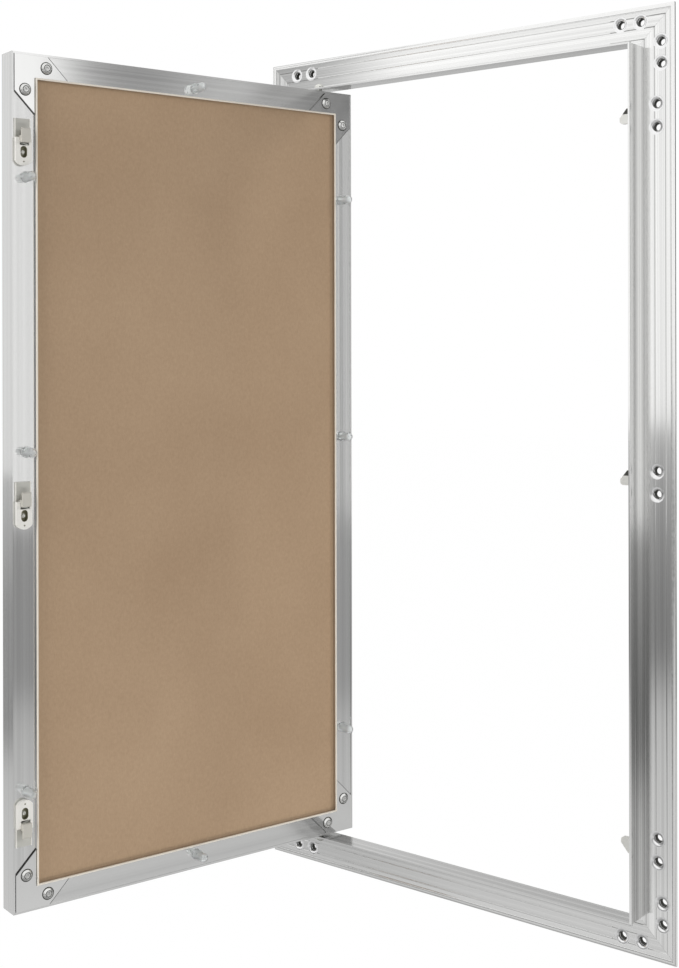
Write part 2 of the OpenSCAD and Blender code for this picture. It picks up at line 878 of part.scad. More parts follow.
module latch_catch_top() { latch_catch(0); }
module latch_catch_middle() { latch_catch(1); }
module latch_catch_bottom() { latch_catch(2); }

// Bent strip spring between the bay's end and the catch
module latch_spring(index) {
    low = -mouth_l - bay_l;
    rise = spring_room - fit_gap;
    color(zinc)
        at_latch(index)
            translate([catch_x, 0, low])
                plate_xz(catch_foot, latch_body_h)
                    polygon([
                        [0, 0], [catch_w, 0], [catch_w, spring_t], [4 * spring_t, spring_t],
                        [catch_w, rise - spring_t], [catch_w, rise], [catch_w / 2, rise],
                        [0, 2 * spring_t]
                    ]);
}

module latch_spring_top() { latch_spring(0); }
module latch_spring_middle() { latch_spring(1); }
module latch_spring_bottom() { latch_spring(2); }

frame_top_rail();
frame_bottom_rail();
frame_hinge_jamb();
frame_latch_jamb();
frame_bracket_top_hinge();
frame_bracket_top_latch();
frame_bracket_bottom_hinge();
frame_bracket_bottom_latch();
frame_corner_rivets();
striker_top();
striker_middle();
striker_bottom();
striker_rivets();
pivot_bush_top();
pivot_bush_bottom();
pivot_bolt_top();
pivot_bolt_bottom();
pivot_block_top();
pivot_block_bottom();
leaf_top_rail();
leaf_bottom_rail();
leaf_hinge_stile();
leaf_latch_stile();
leaf_plate_top_hinge();
leaf_plate_top_latch();
leaf_plate_bottom_hinge();
leaf_plate_bottom_latch();
leaf_corner_rivets();
board_front();
board_rear();
board_screws();
screw_caps();
latch_housing_top();
latch_housing_middle();
latch_housing_bottom();
latch_screws();
latch_catch_top();
latch_catch_middle();
latch_catch_bottom();
latch_spring_top();
latch_spring_middle();
latch_spring_bottom();
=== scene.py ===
"""Finishes, fine pieces and studio of an access panel with a hinged plasterboard leaf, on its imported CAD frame."""

import json
import math

import bmesh
import bpy
import numpy as np
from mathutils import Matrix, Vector


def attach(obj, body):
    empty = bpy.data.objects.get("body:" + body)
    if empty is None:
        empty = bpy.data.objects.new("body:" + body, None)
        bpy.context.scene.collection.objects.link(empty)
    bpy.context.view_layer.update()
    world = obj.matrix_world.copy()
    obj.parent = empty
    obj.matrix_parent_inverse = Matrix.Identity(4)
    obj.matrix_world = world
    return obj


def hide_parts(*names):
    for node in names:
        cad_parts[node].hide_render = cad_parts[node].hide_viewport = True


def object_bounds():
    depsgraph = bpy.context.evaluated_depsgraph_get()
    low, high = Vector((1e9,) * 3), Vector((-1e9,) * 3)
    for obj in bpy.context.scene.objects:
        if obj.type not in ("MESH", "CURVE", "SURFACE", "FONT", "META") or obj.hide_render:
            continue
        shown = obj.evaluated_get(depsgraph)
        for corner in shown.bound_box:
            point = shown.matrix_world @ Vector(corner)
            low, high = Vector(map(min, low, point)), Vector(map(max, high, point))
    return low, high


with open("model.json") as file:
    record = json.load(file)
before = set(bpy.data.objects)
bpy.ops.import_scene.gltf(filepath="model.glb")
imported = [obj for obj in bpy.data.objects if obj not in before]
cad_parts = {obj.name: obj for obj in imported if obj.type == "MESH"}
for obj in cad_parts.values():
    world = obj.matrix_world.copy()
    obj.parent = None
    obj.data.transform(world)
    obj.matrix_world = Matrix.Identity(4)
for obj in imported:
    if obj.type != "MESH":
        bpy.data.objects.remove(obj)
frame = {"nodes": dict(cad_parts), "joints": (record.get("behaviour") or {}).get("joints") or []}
CAD_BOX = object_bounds()

bl_info = {
    "name": "Access panel looks",
    "version": (1, 0, 0),
    "blender": (4, 5, 0),
    "location": "3D View > Sidebar > Access panel",
    "description": "Dresses the access panel's CAD frame and sets up its studio",
    "category": "Object",
}

MM = 0.001
SHARP_ANGLE = math.radians(32)
MERGE = 0.002 * MM


def linear(code):
    """Linear RGB of an sRGB hex colour."""
    values = np.array([int(code[i:i + 2], 16) for i in (1, 3, 5)]) / 255
    return tuple(np.where(values <= 0.04045, values / 12.92, ((values + 0.055) / 1.055) ** 2.4))


def length(name, description, millimetres):
    """A length property with its default in millimetres."""
    return bpy.props.FloatProperty(name=name, description=description, default=millimetres * MM,
                                   min=0, unit="LENGTH", precision=5)


def colour(name, description, code):
    """A colour property with its default as an sRGB hex value."""
    return bpy.props.FloatVectorProperty(name=name, description=description, default=linear(code),
                                         size=3, min=0, max=1, subtype="COLOR")


def power(name, watts):
    """A lamp's power property with its default in watts."""
    return bpy.props.FloatProperty(name=name, description=f"Power of the {name.lower()}", default=watts,
                                   min=0, unit="POWER")


class PanelSizes(bpy.types.PropertyGroup):
    """Sizes of the fine pieces, and the places on the CAD frame that they sit on."""

    leaf_width: length("Leaf width", "Width of the leaf", 600)
    leaf_height: length("Leaf height", "Height of the leaf", 1200)
    leaf_rear: length("Leaf rear", "Depth of the leaf's rear face behind the flange's front", 1)
    leaf_depth: length("Leaf depth", "Depth of the leaf's edge profile", 32)
    leaf_flange: length("Leaf flange", "Width of the leaf's rear flange", 37)
    lip_thickness: length("Lip thickness", "Thickness of the lip at the rear flange's inner edge", 2.5)
    lip_height: length("Lip height", "Height of the lip over the rear flange", 4.5)
    opening_half_width: length("Opening half width", "Half the width of the frame's opening", 303)
    frame_half_width: length("Frame half width", "Half the frame's outer width", 358)
    frame_half_height: length("Frame half height", "Half the frame's outer height", 658)
    bead_at: length("Bead place", "Middle of the frame's bead from its outer edge", 3.5)
    bead_width: length("Bead width", "Width of the frame's bead", 6.8)
    bead_height: length("Bead height", "Height of the frame's bead over the flange", 1.4)
    corner_rivet_edge: length("Corner rivet edge", "Corner rivets from the frame's outer edge", 20.7)
    corner_rivet_first: length("First corner rivet", "First corner rivet from the outer corner", 51)
    corner_rivet_second: length("Second corner rivet", "Second corner rivet from the outer corner", 81)
    striker_rivet_edge: length("Striker rivet edge", "Striker rivets from the frame's outer edge", 27.6)
    striker_rivet_pitch: length("Striker rivet pitch", "Distance between a striker's two rivets", 32)
    striker_height: length("Striker height", "Height of the top striker above the middle one", 506)
    tongue_front: length("Tongue front", "Depth of a striker tongue's front behind the flange's front", 5)
    dish_depth: length("Dish depth", "Depth of the dish under a frame rivet's head", 1.1)
    flange_thickness: length("Flange thickness", "Thickness of the frame's flange", 2)
    bracket_thickness: length("Bracket thickness", "Thickness of the brackets behind the frame's corners", 2.5)
    striker_plate: length("Striker plate", "Thickness of the strikers' plates", 2)
    leaf_rivet_edge: length("Leaf rivet edge", "Leaf rivets from the leaf's edge", 19.4)
    leaf_rivet_at: length("Leaf rivet place", "Leaf rivets from the leaf's corner", 52)
    plate_thickness: length("Corner plate", "Thickness of the leaf's corner plates", 2.2)
    plate_margin: length("Plate margin", "Corner plates from the leaf's edge", 3.4)
    plate_leg: length("Plate leg", "Corner plates' outer corners from the leaf's corner", 55)
    plate_gap: length("Plate gap", "Gap between a corner plate and the lip", 0.3)
    # Width of the dark bars of painted shade along the corner plates' slanted ends
    plate_shade_width: length("Plate shade width", "Width of the shade_painted strip along a corner plate's slanted end", 0.7)
    latch_at: length("Latch place", "Latches' middle from the leaf's middle", 285)
    latch_base: length("Latch base", "Thickness of a latch housing's floor", 2)
    latch_well: length("Latch well", "Distance of a latch's screw well from the middle of its striker", 46)
    # Place of the dark plug of painted shade in the hole at a latch's foot
    latch_hole_shade: length("Latch hole shade", "Distance of the painted shade in the hole at a latch's foot from the middle of its striker", 59.5)
    screw_edge: length("Board screw edge", "Board screws from the leaf's edge", 21)
    screw_top: length("Top board screw", "Height of the top screw on a stile", 426)
    screw_middle: length("Middle board screw", "Height of the middle screw on a stile", 42)
    screw_bottom: length("Bottom board screw", "Depth of the bottom screw on a stile", 431.5)
    screw_point: length("Screw point", "Length of a screw's point behind the leaf", 14)
    thread_pitch: length("Thread pitch", "Pitch of a board screw's thread", 1.8)
    cap_height: length("Cap height", "Height of a cap over a screw's point", 26)
    open_angle: bpy.props.FloatProperty(name="Open angle", description="Angle at which the leaf stands open",
                                        default=math.radians(104.5), subtype="ANGLE")


class PanelColours(bpy.types.PropertyGroup):
    """Colours of the panel's finishes."""

    aluminium: colour("Aluminium", "Mill-finished extruded aluminium", "#DCDCDB")
    rivet: colour("Rivets", "Bright aluminium of the rivets", "#DDDDDD")
    # Painted highlight: cream for the rounded lip's highlight and its reflection of the kraft board
    lip: colour("Lip edge", "Cream painted highlight on the lip", "#EDE5D8")
    zinc: colour("Zinc", "Bright zinc plating", "#CBCBC6")
    casting: colour("Zinc casting", "Tumbled zinc of the strikers", "#DCDCD8")
    spring: colour("Spring", "Plain spring steel", "#B4B4AE")
    nylon: colour("White nylon", "Moulded white nylon", "#F0EEE8")
    # Painted shade on the latch housings' floors
    shade: colour("Nylon floor", "Shadowed floor of the white housings", "#C2C1BA")
    catch: colour("Catch", "Moulded grey nylon", "#C9C6BD")
    # Painted shade: dark linings in rivet bores, rings at the leaf rivets and patches on the strikers
    dark: colour("Dark shade", "Painted shade in rivet bores, in rings at rivet heads and on strikers", "#34342F")
    # Painted shade in the latches' screw wells and in the holes at their feet
    well: colour("Screw wells", "Olive painted shade in the latches' screw wells", "#76745F")
    # Painted shade: dark colour of the corner plates' sides and of the bars along their slanted ends
    shaded: colour("Plate edge shade", "Dull sawn edges of the leaf's corner plates", "#4A4A48")
    leaf_rivet: colour("Leaf rivets", "Dulled aluminium of the leaf's rivets", "#CFCFCD")
    screw: colour("Latch screws", "Bright screws in the latches", "#E6E6E0")
    kraft_dark: colour("Kraft paper, dark", "Darker fibres of the board's brown paper", "#A98E72")
    kraft_light: colour("Kraft paper, light", "Lighter fibres of the board's brown paper", "#BEA386")
    ivory: colour("Ivory paper", "Face paper of the front board", "#E6E1D4")
    clear: colour("Clear plastic", "Soft translucent plastic", "#F4F6F6")


class PanelStudio(bpy.types.PropertyGroup):
    """Light and camera of the studio."""

    key_power: power("Key lamp", 42)
    front_power: power("Front lamp", 90)
    low_power: power("Low lamp", 32)
    sky: bpy.props.FloatProperty(name="Sky", description="Strength of the even light on the object",
                                 default=0.34, min=0)
    card: bpy.props.FloatProperty(name="Cards", description="Brightness of the cards that the metal reflects",
                                  default=1.4, min=0)
    floor_drop: length("Floor drop", "Depth of the floor under the panel's bottom", 1500)


def add(tree, kind, values=(), **settings):
    """Adds a node with its settings; values maps inputs to constants, or to sockets that are then linked."""
    made = tree.nodes.new(kind)
    for key, value in settings.items():
        setattr(made, key, value)
    for key, value in dict(values).items():
        if isinstance(value, bpy.types.NodeSocket):
            tree.links.new(value, made.inputs[key])
        else:
            made.inputs[key].default_value = value
    return made


def material(name):
    """A new material with an empty node tree."""
    made = bpy.data.materials.new(name)
    made.use_nodes = True
    made.node_tree.nodes.clear()
    return made, made.node_tree


def opaque(rgb):
    """A colour as the four numbers of a colour socket."""
    return (*rgb, 1.0)


def scaled(rgb, share):
    """A colour made darker or lighter by one share."""
    return opaque(min(1.0, value * share) for value in rgb)


def extruded_aluminium(name, rgb, along, turn, streak):
    """Mill-finished extruded aluminium: bright, with die lines along the profile that smear reflections across.

    Along is the profile's direction in the piece's own space, and turn the rotation that lays X on it.
    Streak is how strongly the lines show, from 0 to 1.
    The real lines are about 0.2 mm apart; they are drawn 2.4 mm apart, as finer ones wouldn't show."""
    line_length, line_gap = 2600 * MM, 2.4 * MM
    dark, light = scaled(rgb, 0.95 - 0.17 * streak), scaled(rgb, 0.95 + 0.17 * streak)
    made, tree = material(name)
    place = add(tree, "ShaderNodeTexCoord").outputs["Object"]
    drawn = add(tree, "ShaderNodeMapping", {"Vector": place, "Rotation": turn,
                "Scale": (line_length, line_gap, line_gap)}, vector_type="TEXTURE").outputs["Vector"]
    lines = add(tree, "ShaderNodeTexNoise", {"Vector": drawn, "Scale": 1.0, "Detail": 3.0,
                "Roughness": 0.6}).outputs[0]
    bands = add(tree, "ShaderNodeTexNoise", {"Vector": drawn, "Scale": 0.28, "Detail": 1.0}).outputs[0]
    shade = add(tree, "ShaderNodeMath", {0: lines, 1: bands}, operation="ADD").outputs[0]
    share = add(tree, "ShaderNodeMapRange", {"Value": shade, "From Min": 0.7, "From Max": 1.3}).outputs[0]
    tint = add(tree, "ShaderNodeMix", {"Factor": share, "A": dark, "B": light}, data_type="RGBA")
    rough = add(tree, "ShaderNodeMapRange", {"Value": lines, "From Min": 0.3, "From Max": 0.7,
                "To Min": 0.10, "To Max": 0.16}).outputs[0]
    bump = add(tree, "ShaderNodeBump", {"Height": lines, "Strength": 0.5 * streak,
               "Distance": 0.03 * MM}).outputs[0]
    direction = add(tree, "ShaderNodeCombineXYZ", {0: along[0], 1: along[1], 2: along[2]}).outputs[0]
    tangent = add(tree, "ShaderNodeVectorTransform", {"Vector": direction}, vector_type="VECTOR",
                  convert_from="OBJECT", convert_to="WORLD").outputs[0]
    skin = add(tree, "ShaderNodeBsdfPrincipled", {"Base Color": tint.outputs["Result"], "Metallic": 1.0,
               "Roughness": rough, "Anisotropic": 0.95, "Anisotropic Rotation": 0.25, "Tangent": tangent,
               "Normal": bump})
    add(tree, "ShaderNodeOutputMaterial", {"Surface": skin.outputs[0]})
    return made


def bright_metal(name, rgb, metallic, rough_low, rough_high, grain):
    """Metal with a fine cloudy grain, as on rivets, zinc plate and spring steel: gloss that varies a little."""
    made, tree = material(name)
    place = add(tree, "ShaderNodeTexCoord").outputs["Object"]
    cloudy = add(tree, "ShaderNodeTexNoise", {"Vector": place, "Scale": 1 / grain, "Detail": 3.0}).outputs[0]
    tint = add(tree, "ShaderNodeMix", {"Factor": cloudy, "A": scaled(rgb, 0.94), "B": scaled(rgb, 1.05)},
               data_type="RGBA")
    rough = add(tree, "ShaderNodeMapRange", {"Value": cloudy, "From Min": 0.3, "From Max": 0.7,
                "To Min": rough_low, "To Max": rough_high}).outputs[0]
    bump = add(tree, "ShaderNodeBump", {"Height": cloudy, "Strength": 0.2, "Distance": 0.02 * MM}).outputs[0]
    skin = add(tree, "ShaderNodeBsdfPrincipled", {"Base Color": tint.outputs["Result"], "Metallic": metallic,
               "Roughness": rough, "Normal": bump})
    add(tree, "ShaderNodeOutputMaterial", {"Surface": skin.outputs[0]})
    return made


def moulded_plastic(name, rgb):
    """Injection-moulded plastic: satin, a little uneven in gloss, with the fine spark texture of its mould."""
    spark_width, flow_width = 0.9 * MM, 14 * MM
    made, tree = material(name)
    place = add(tree, "ShaderNodeTexCoord").outputs["Object"]
    spark = add(tree, "ShaderNodeTexNoise", {"Vector": place, "Scale": 1 / spark_width, "Detail": 2.0}).outputs[0]
    flow = add(tree, "ShaderNodeTexNoise", {"Vector": place, "Scale": 1 / flow_width, "Detail": 2.0}).outputs[0]
    tint = add(tree, "ShaderNodeMix", {"Factor": flow, "A": scaled(rgb, 0.94), "B": scaled(rgb, 1.02)},
               data_type="RGBA")
    rough = add(tree, "ShaderNodeMapRange", {"Value": flow, "From Min": 0.3, "From Max": 0.7,
                "To Min": 0.38, "To Max": 0.5}).outputs[0]
    bump = add(tree, "ShaderNodeBump", {"Height": spark, "Strength": 0.15, "Distance": 0.05 * MM}).outputs[0]
    skin = add(tree, "ShaderNodeBsdfPrincipled", {"Base Color": tint.outputs["Result"], "Roughness": rough,
               "IOR": 1.53, "Normal": bump})
    add(tree, "ShaderNodeOutputMaterial", {"Surface": skin.outputs[0]})
    return made


def shade_below(finish, shade, normal, start, end):
    """Shades a finish below a plane across the normal: wholly up to start along it, and not past end."""
    tree = finish.node_tree
    skin = next(node for node in tree.nodes if node.type == "BSDF_PRINCIPLED")
    clean = skin.inputs["Base Color"].links[0].from_socket
    place = add(tree, "ShaderNodeTexCoord").outputs["Object"]
    height = add(tree, "ShaderNodeVectorMath", {0: place, 1: normal}, operation="DOT_PRODUCT").outputs["Value"]
    share = add(tree, "ShaderNodeMapRange", {"Value": height, "From Min": start, "From Max": end}).outputs[0]
    tint = add(tree, "ShaderNodeMix", {"Factor": share, "A": opaque(shade), "B": clean}, data_type="RGBA")
    tree.links.new(tint.outputs["Result"], skin.inputs["Base Color"])


def paper(name, dark, light, fibre, cloud):
    """Paper of a plasterboard: matt, with short fibres along the board, small flecks and broad soft clouds."""
    fibre_length, fleck_width = 7 * fibre, 5 * MM
    made, tree = material(name)
    place = add(tree, "ShaderNodeTexCoord").outputs["Object"]
    laid = add(tree, "ShaderNodeMapping", {"Vector": place, "Scale": (fibre, fibre, fibre_length)},
               vector_type="TEXTURE").outputs["Vector"]
    fibres = add(tree, "ShaderNodeTexNoise", {"Vector": laid, "Scale": 1.0, "Detail": 4.0,
                 "Roughness": 0.65}).outputs[0]
    flecks = add(tree, "ShaderNodeTexNoise", {"Vector": place, "Scale": 1 / fleck_width, "Detail": 5.0,
                 "Roughness": 0.7}).outputs[0]
    clouds = add(tree, "ShaderNodeTexNoise", {"Vector": place, "Scale": 1 / cloud, "Detail": 2.0}).outputs[0]
    fine = add(tree, "ShaderNodeMath", {0: fibres, 1: flecks}, operation="ADD").outputs[0]
    sum_all = add(tree, "ShaderNodeMath", {0: clouds, 1: 0.9, 2: fine}, operation="MULTIPLY_ADD").outputs[0]
    share = add(tree, "ShaderNodeMapRange", {"Value": sum_all, "From Min": 0.95, "From Max": 1.95}).outputs[0]
    tint = add(tree, "ShaderNodeMix", {"Factor": share, "A": opaque(dark), "B": opaque(light)},
               data_type="RGBA")
    bump = add(tree, "ShaderNodeBump", {"Height": fine, "Strength": 0.3, "Distance": 0.08 * MM}).outputs[0]
    skin = add(tree, "ShaderNodeBsdfPrincipled", {"Base Color": tint.outputs["Result"], "Roughness": 0.88,
               "Specular IOR Level": 0.25, "Normal": bump})
    add(tree, "ShaderNodeOutputMaterial", {"Surface": skin.outputs[0]})
    return made


def clear_plastic(name, rgb):
    """Soft translucent plastic: clear, a little milky, with a satin moulded skin."""
    flow_width = 6 * MM
    made, tree = material(name)
    place = add(tree, "ShaderNodeTexCoord").outputs["Object"]
    flow = add(tree, "ShaderNodeTexNoise", {"Vector": place, "Scale": 1 / flow_width, "Detail": 2.0}).outputs[0]
    tint = add(tree, "ShaderNodeMix", {"Factor": flow, "A": scaled(rgb, 0.9), "B": scaled(rgb, 1.04)},
               data_type="RGBA")
    rough = add(tree, "ShaderNodeMapRange", {"Value": flow, "To Min": 0.2, "To Max": 0.4}).outputs[0]
    skin = add(tree, "ShaderNodeBsdfPrincipled", {"Base Color": tint.outputs["Result"], "Roughness": rough,
               "IOR": 1.45, "Transmission Weight": 0.85})
    add(tree, "ShaderNodeOutputMaterial", {"Surface": skin.outputs[0]})
    return made


def dress(nodes, finish):
    """Gives CAD nodes one finish and leaves their meshes alone."""
    for name in nodes:
        slots = frame["nodes"][name].data.materials
        slots.clear()
        slots.append(finish)


def grid_quads(rows, columns):
    """Corner numbers of the quads of a grid that is closed round its columns."""
    row, column = np.meshgrid(np.arange(rows - 1), np.arange(columns), indexing="ij")
    beside = (column + 1) % columns
    quads = np.stack([row * columns + column, row * columns + beside,
                      (row + 1) * columns + beside, (row + 1) * columns + column], -1)
    return quads.reshape(-1, 4)


def turned(profile, steps):
    """Surface of revolution about Y: radius(u) times the cosine and sine of v across, height(u) along."""
    radius, height = np.array(profile, float).T * MM
    angle = np.linspace(0, 2 * np.pi, steps, endpoint=False)
    points = np.stack([np.outer(radius, np.cos(angle)), np.outer(height, np.ones(steps)),
                       np.outer(radius, np.sin(angle))], -1)
    return points.reshape(-1, 3), grid_quads(len(radius), steps)


def copies(points, quads, places):
    """One shape repeated at each place, as one list of points and one of quads."""
    places = np.array(places, float)
    moved = (points[None] + places[:, None]).reshape(-1, 3)
    numbered = (quads[None] + len(points) * np.arange(len(places))[:, None, None]).reshape(-1, 4)
    return moved, numbered


def joined(*shapes):
    """Several shapes as one list of points and one of quads."""
    starts = np.cumsum([0] + [len(points) for points, _ in shapes[:-1]])
    return (np.concatenate([points for points, _ in shapes]),
            np.concatenate([quads + start for (_, quads), start in zip(shapes, starts)]))


def rounded(corners, radius, steps=4):
    """A profile whose inner corners are quadratic curves, from radius before a corner to radius after it."""
    corners = np.array(corners, float)
    share = np.linspace(0, 1, steps)[:, None]
    before, at, after = corners[:-2], corners[1:-1], corners[2:]
    reach_in = np.minimum(radius, np.linalg.norm(before - at, axis=1) / 2.2)[:, None]
    reach_out = np.minimum(radius, np.linalg.norm(after - at, axis=1) / 2.2)[:, None]
    start = at + (before - at) / np.linalg.norm(before - at, axis=1)[:, None] * reach_in
    end = at + (after - at) / np.linalg.norm(after - at, axis=1)[:, None] * reach_out
    curve = (start[:, None] * (1 - share) ** 2 + 2 * at[:, None] * share * (1 - share)
             + end[:, None] * share ** 2)
    return np.concatenate([corners[:1], curve.reshape(-1, 2), corners[-1:]])


def shell(outline, rows):
    """Surface over an outline in X and Z: each row is the outline at a share of its size and a depth along Y."""
    flat = np.array(outline, float) * MM
    share, depth = np.array(rows, float).T
    middle = flat.mean(0)
    across = middle + share[:, None, None] * (flat - middle)
    along = np.broadcast_to(depth[:, None] * MM, across.shape[:2])
    points = np.stack([across[..., 0], along, across[..., 1]], -1)
    return points.reshape(-1, 3), grid_quads(len(share), len(flat))


def swept(section, half):
    """Closed section carried round a rectangle with mitres: out(v) adds to its half sizes, depth(v) is Y."""
    corners = np.array([(1, 1), (-1, 1), (-1, -1), (1, -1), (1, 1)])
    out, depth = np.array(section, float).T * MM
    across = corners[:, None, :] * (np.array(half) + out[:, None])[None]
    points = np.stack([across[..., 0], np.broadcast_to(depth, across.shape[:2]), across[..., 1]], -1)
    return points.reshape(-1, 3), grid_quads(5, len(out))


def on_leaf(points):
    """Points of the closed leaf turned about the pivot to the open angle, clockwise seen from above."""
    sizes = bpy.context.scene.panel_sizes
    joint = next(j for j in frame["joints"] if j["name"] == "leaf_swing")
    pivot = np.array(joint["pos_m"])
    cos, sin = math.cos(sizes.open_angle), math.sin(sizes.open_angle)
    turn = np.array([[cos, sin, 0], [-sin, cos, 0], [0, 0, 1]])
    return (points - pivot) @ turn.T + pivot


def leaf_rear(sizes):
    """The open leaf's rear normal, and the rear face's height along it."""
    ground, above = on_leaf(np.array([(0, sizes.leaf_rear, 0), (0, sizes.leaf_rear + 1, 0)]))
    normal = above - ground
    return normal, float(ground @ normal)


def piece(name, points, quads, finish, body, slot, replaced=()):
    """A new mesh piece from whole arrays: seams and poles merged, facing outwards, smooth between sharp edges."""
    mesh = bpy.data.meshes.new(name)
    mesh.from_pydata(points, [], quads)
    work = bmesh.new()
    work.from_mesh(mesh)
    bmesh.ops.remove_doubles(work, verts=work.verts, dist=MERGE)
    bmesh.ops.recalc_face_normals(work, faces=work.faces)
    work.to_mesh(mesh)
    work.free()
    mesh.shade_smooth()
    mesh.set_sharp_from_angle(angle=SHARP_ANGLE)
    mesh.materials.append(finish)
    made = bpy.data.objects.new(name, mesh)
    bpy.context.scene.collection.objects.link(made)
    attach(made, body)
    if replaced:
        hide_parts(*replaced)
    return made


FRAME_RAILS = ["frame_top_rail", "frame_bottom_rail"]
FRAME_JAMBS = ["frame_hinge_jamb", "frame_latch_jamb"]
LEAF_RAILS = ["leaf_top_rail", "leaf_bottom_rail"]
LEAF_STILES = ["leaf_hinge_stile", "leaf_latch_stile"]
CORNERS = ["top_hinge", "top_latch", "bottom_hinge", "bottom_latch"]
ENDS = ["top", "bottom"]
LATCHES = ["top", "middle", "bottom"]


class PANEL_OT_profiles(bpy.types.Operator):
    """Gives the frame's and the leaf's aluminium profiles, plates and brackets their finish"""

    bl_idname = "panel.profiles"
    bl_label = "Dress aluminium profiles"

    # How strongly the die lines show on the frame and on the leaf
    FRAME_STREAK, LEAF_STREAK = 1.0, 0.4
    # Depth and height in millimetres of a dark bar of painted shade in and over its plate
    SUNK, PROUD = 0.1, 0.12

    def execute(self, context):
        sizes, colours = context.scene.panel_sizes, context.scene.panel_colours
        rgb, angle = colours.aluminium, -sizes.open_angle
        level, upright = (0, 0, 0), (0, -math.pi / 2, 0)
        leaf_way = (math.cos(angle), math.sin(angle), 0)
        for nodes, place, along, turn, streak in (
                (FRAME_RAILS, "frame rails", (1, 0, 0), level, self.FRAME_STREAK),
                (FRAME_JAMBS, "frame jambs", (0, 0, 1), upright, self.FRAME_STREAK),
                (LEAF_RAILS, "leaf rails", leaf_way, (0, 0, angle), self.LEAF_STREAK),
                (LEAF_STILES, "leaf stiles", (0, 0, 1), upright, self.LEAF_STREAK)):
            dress(nodes, extruded_aluminium(f"Aluminium extrusion, {place}", rgb, along, turn, streak))
        dress([f"frame_bracket_{corner}" for corner in CORNERS],
              bright_metal("Aluminium plate, rolled", rgb, 1.0, 0.12, 0.2, 8 * MM))
        # Painted shade: the corner plates' sides are tinted dark below their top face
        shaded = bright_metal("Aluminium plate, sawn edges", rgb, 1.0, 0.08, 0.12, 30 * MM)
        normal, rear = leaf_rear(sizes)
        top = rear + sizes.plate_thickness
        shade_below(shaded, colours.shaded, normal, top - 0.15 * MM, top - 0.05 * MM)
        dress([f"leaf_plate_{corner}" for corner in CORNERS], shaded)
        # Painted shade: dark bars along the plates' slanted ends
        self.plate_shade_lines(sizes, bright_metal("Aluminium, deburred edge", colours.shaded, 0.5, 0.4, 0.55, 2 * MM))
        return {"FINISHED"}

    def plate_shade_lines(self, sizes, finish):
        """Makes dark bars of painted shade along the corner plates' slanted ends: flat bars over the plates' edges.
        """
        inner = sizes.leaf_flange - sizes.lip_thickness - sizes.plate_gap
        near, far = sizes.plate_margin, sizes.plate_leg
        start, end = np.array([(-far, -near), (near - far - inner, -inner)])
        inward = sizes.plate_shade_width * np.array([1, -1]) / math.sqrt(2)
        outline = np.array([start, end, end + inward, start + inward])
        corner = np.array([sizes.leaf_width, sizes.leaf_height]) / 2
        top = (sizes.leaf_rear + sizes.plate_thickness) / MM
        low, high = top - self.SUNK, top + self.PROUD
        rows = [(0, low), (1, low), (1, high), (0, high)]
        bars = [shell((corner + bar) / MM, rows) for bar in (outline, outline[:, ::-1])]
        points, quads = joined(*bars)
        mirrored = [(points * (side_x, 1, side_z), quads) for side_x in (-1, 1) for side_z in (-1, 1)]
        points, quads = joined(*mirrored)
        piece("leaf_plate_edges", on_leaf(points), quads, finish, "leaf", "aluminium_profile")


class PANEL_OT_lip(bpy.types.Operator):
    """Makes a rounded bead on the lip that holds the boards, its cream colour a painted highlight tinted by the
    kraft's reflection
    """

    bl_idname = "panel.lip"
    bl_label = "Make lip edging"

    # How far the bead stands out from the lip's sides in millimetres
    PROUD = 0.15

    def execute(self, context):
        sizes = context.scene.panel_sizes
        # Painted highlight: an even cream stands in for the metal lip's highlight and its reflection of the kraft
        # board
        finish = moulded_plastic("Plastic edging, cream", context.scene.panel_colours.lip)
        inset = sizes.leaf_flange - sizes.lip_thickness / 2
        turn = np.linspace(0, 2 * np.pi, 16, endpoint=False)
        radius = sizes.lip_thickness / MM / 2 + self.PROUD
        middle = (sizes.leaf_rear + sizes.lip_height) / MM - radius / 4
        section = np.stack([radius * np.cos(turn), middle + radius * np.sin(turn)], -1)
        points, quads = swept(section, (sizes.leaf_width / 2 - inset, sizes.leaf_height / 2 - inset))
        piece("leaf_lip_edge", on_leaf(points), quads, finish, "leaf", "white_nylon")
        return {"FINISHED"}


class PANEL_OT_bead(bpy.types.Operator):
    """Makes the rounded bead along the frame's outer edge and the ribs in its rails' grooves"""

    bl_idname = "panel.bead"
    bl_label = "Make frame bead and ribs"

    # In millimetres: the rails' grooves from the frame's outer edge, half a rib's length, its height and half
    # width, its foot in the groove, and the depth of the bead's foot in the flange
    GROOVES = [14, 30, 45]
    RIB = 262
    RIB_HEIGHT, RIB_HALF_WIDTH = 0.5, 0.9
    RIB_FOOT = [(0.6, -0.3), (0.6, 0.3)]
    SUNK = 0.3

    def execute(self, context):
        sizes, colours = context.scene.panel_sizes, context.scene.panel_colours
        finish = bright_metal("Aluminium bead, polished", colours.aluminium, 1.0, 0.12, 0.2, 6 * MM)
        middle, half, high = sizes.bead_at / MM, sizes.bead_width / MM / 2, sizes.bead_height / MM
        arc = np.linspace(0, np.pi, 24)
        section = np.stack([-middle + half * np.cos(arc), -high * np.sin(arc)], -1)
        section = np.concatenate([section, [(-middle - half, self.SUNK), (-middle + half, self.SUNK)]])
        points, quads = swept(section, (sizes.frame_half_width, sizes.frame_half_height))
        piece("frame_bead", points, quads, finish, "frame", "aluminium_profile")
        top = np.stack([-self.RIB_HEIGHT * np.sin(arc), self.RIB_HALF_WIDTH * np.cos(arc)], -1)
        bar = np.concatenate([top, self.RIB_FOOT])
        points, quads = shell(bar, [(0, -self.RIB), (1, -self.RIB), (1, self.RIB), (0, self.RIB)])
        places = [(0, 0, side * (sizes.frame_half_height - at * MM)) for side in (-1, 1) for at in self.GROOVES]
        points, quads = copies(points[:, [1, 0, 2]], quads, places)
        piece("frame_rail_ribs", points, quads, finish, "frame", "aluminium_profile")
        return {"FINISHED"}


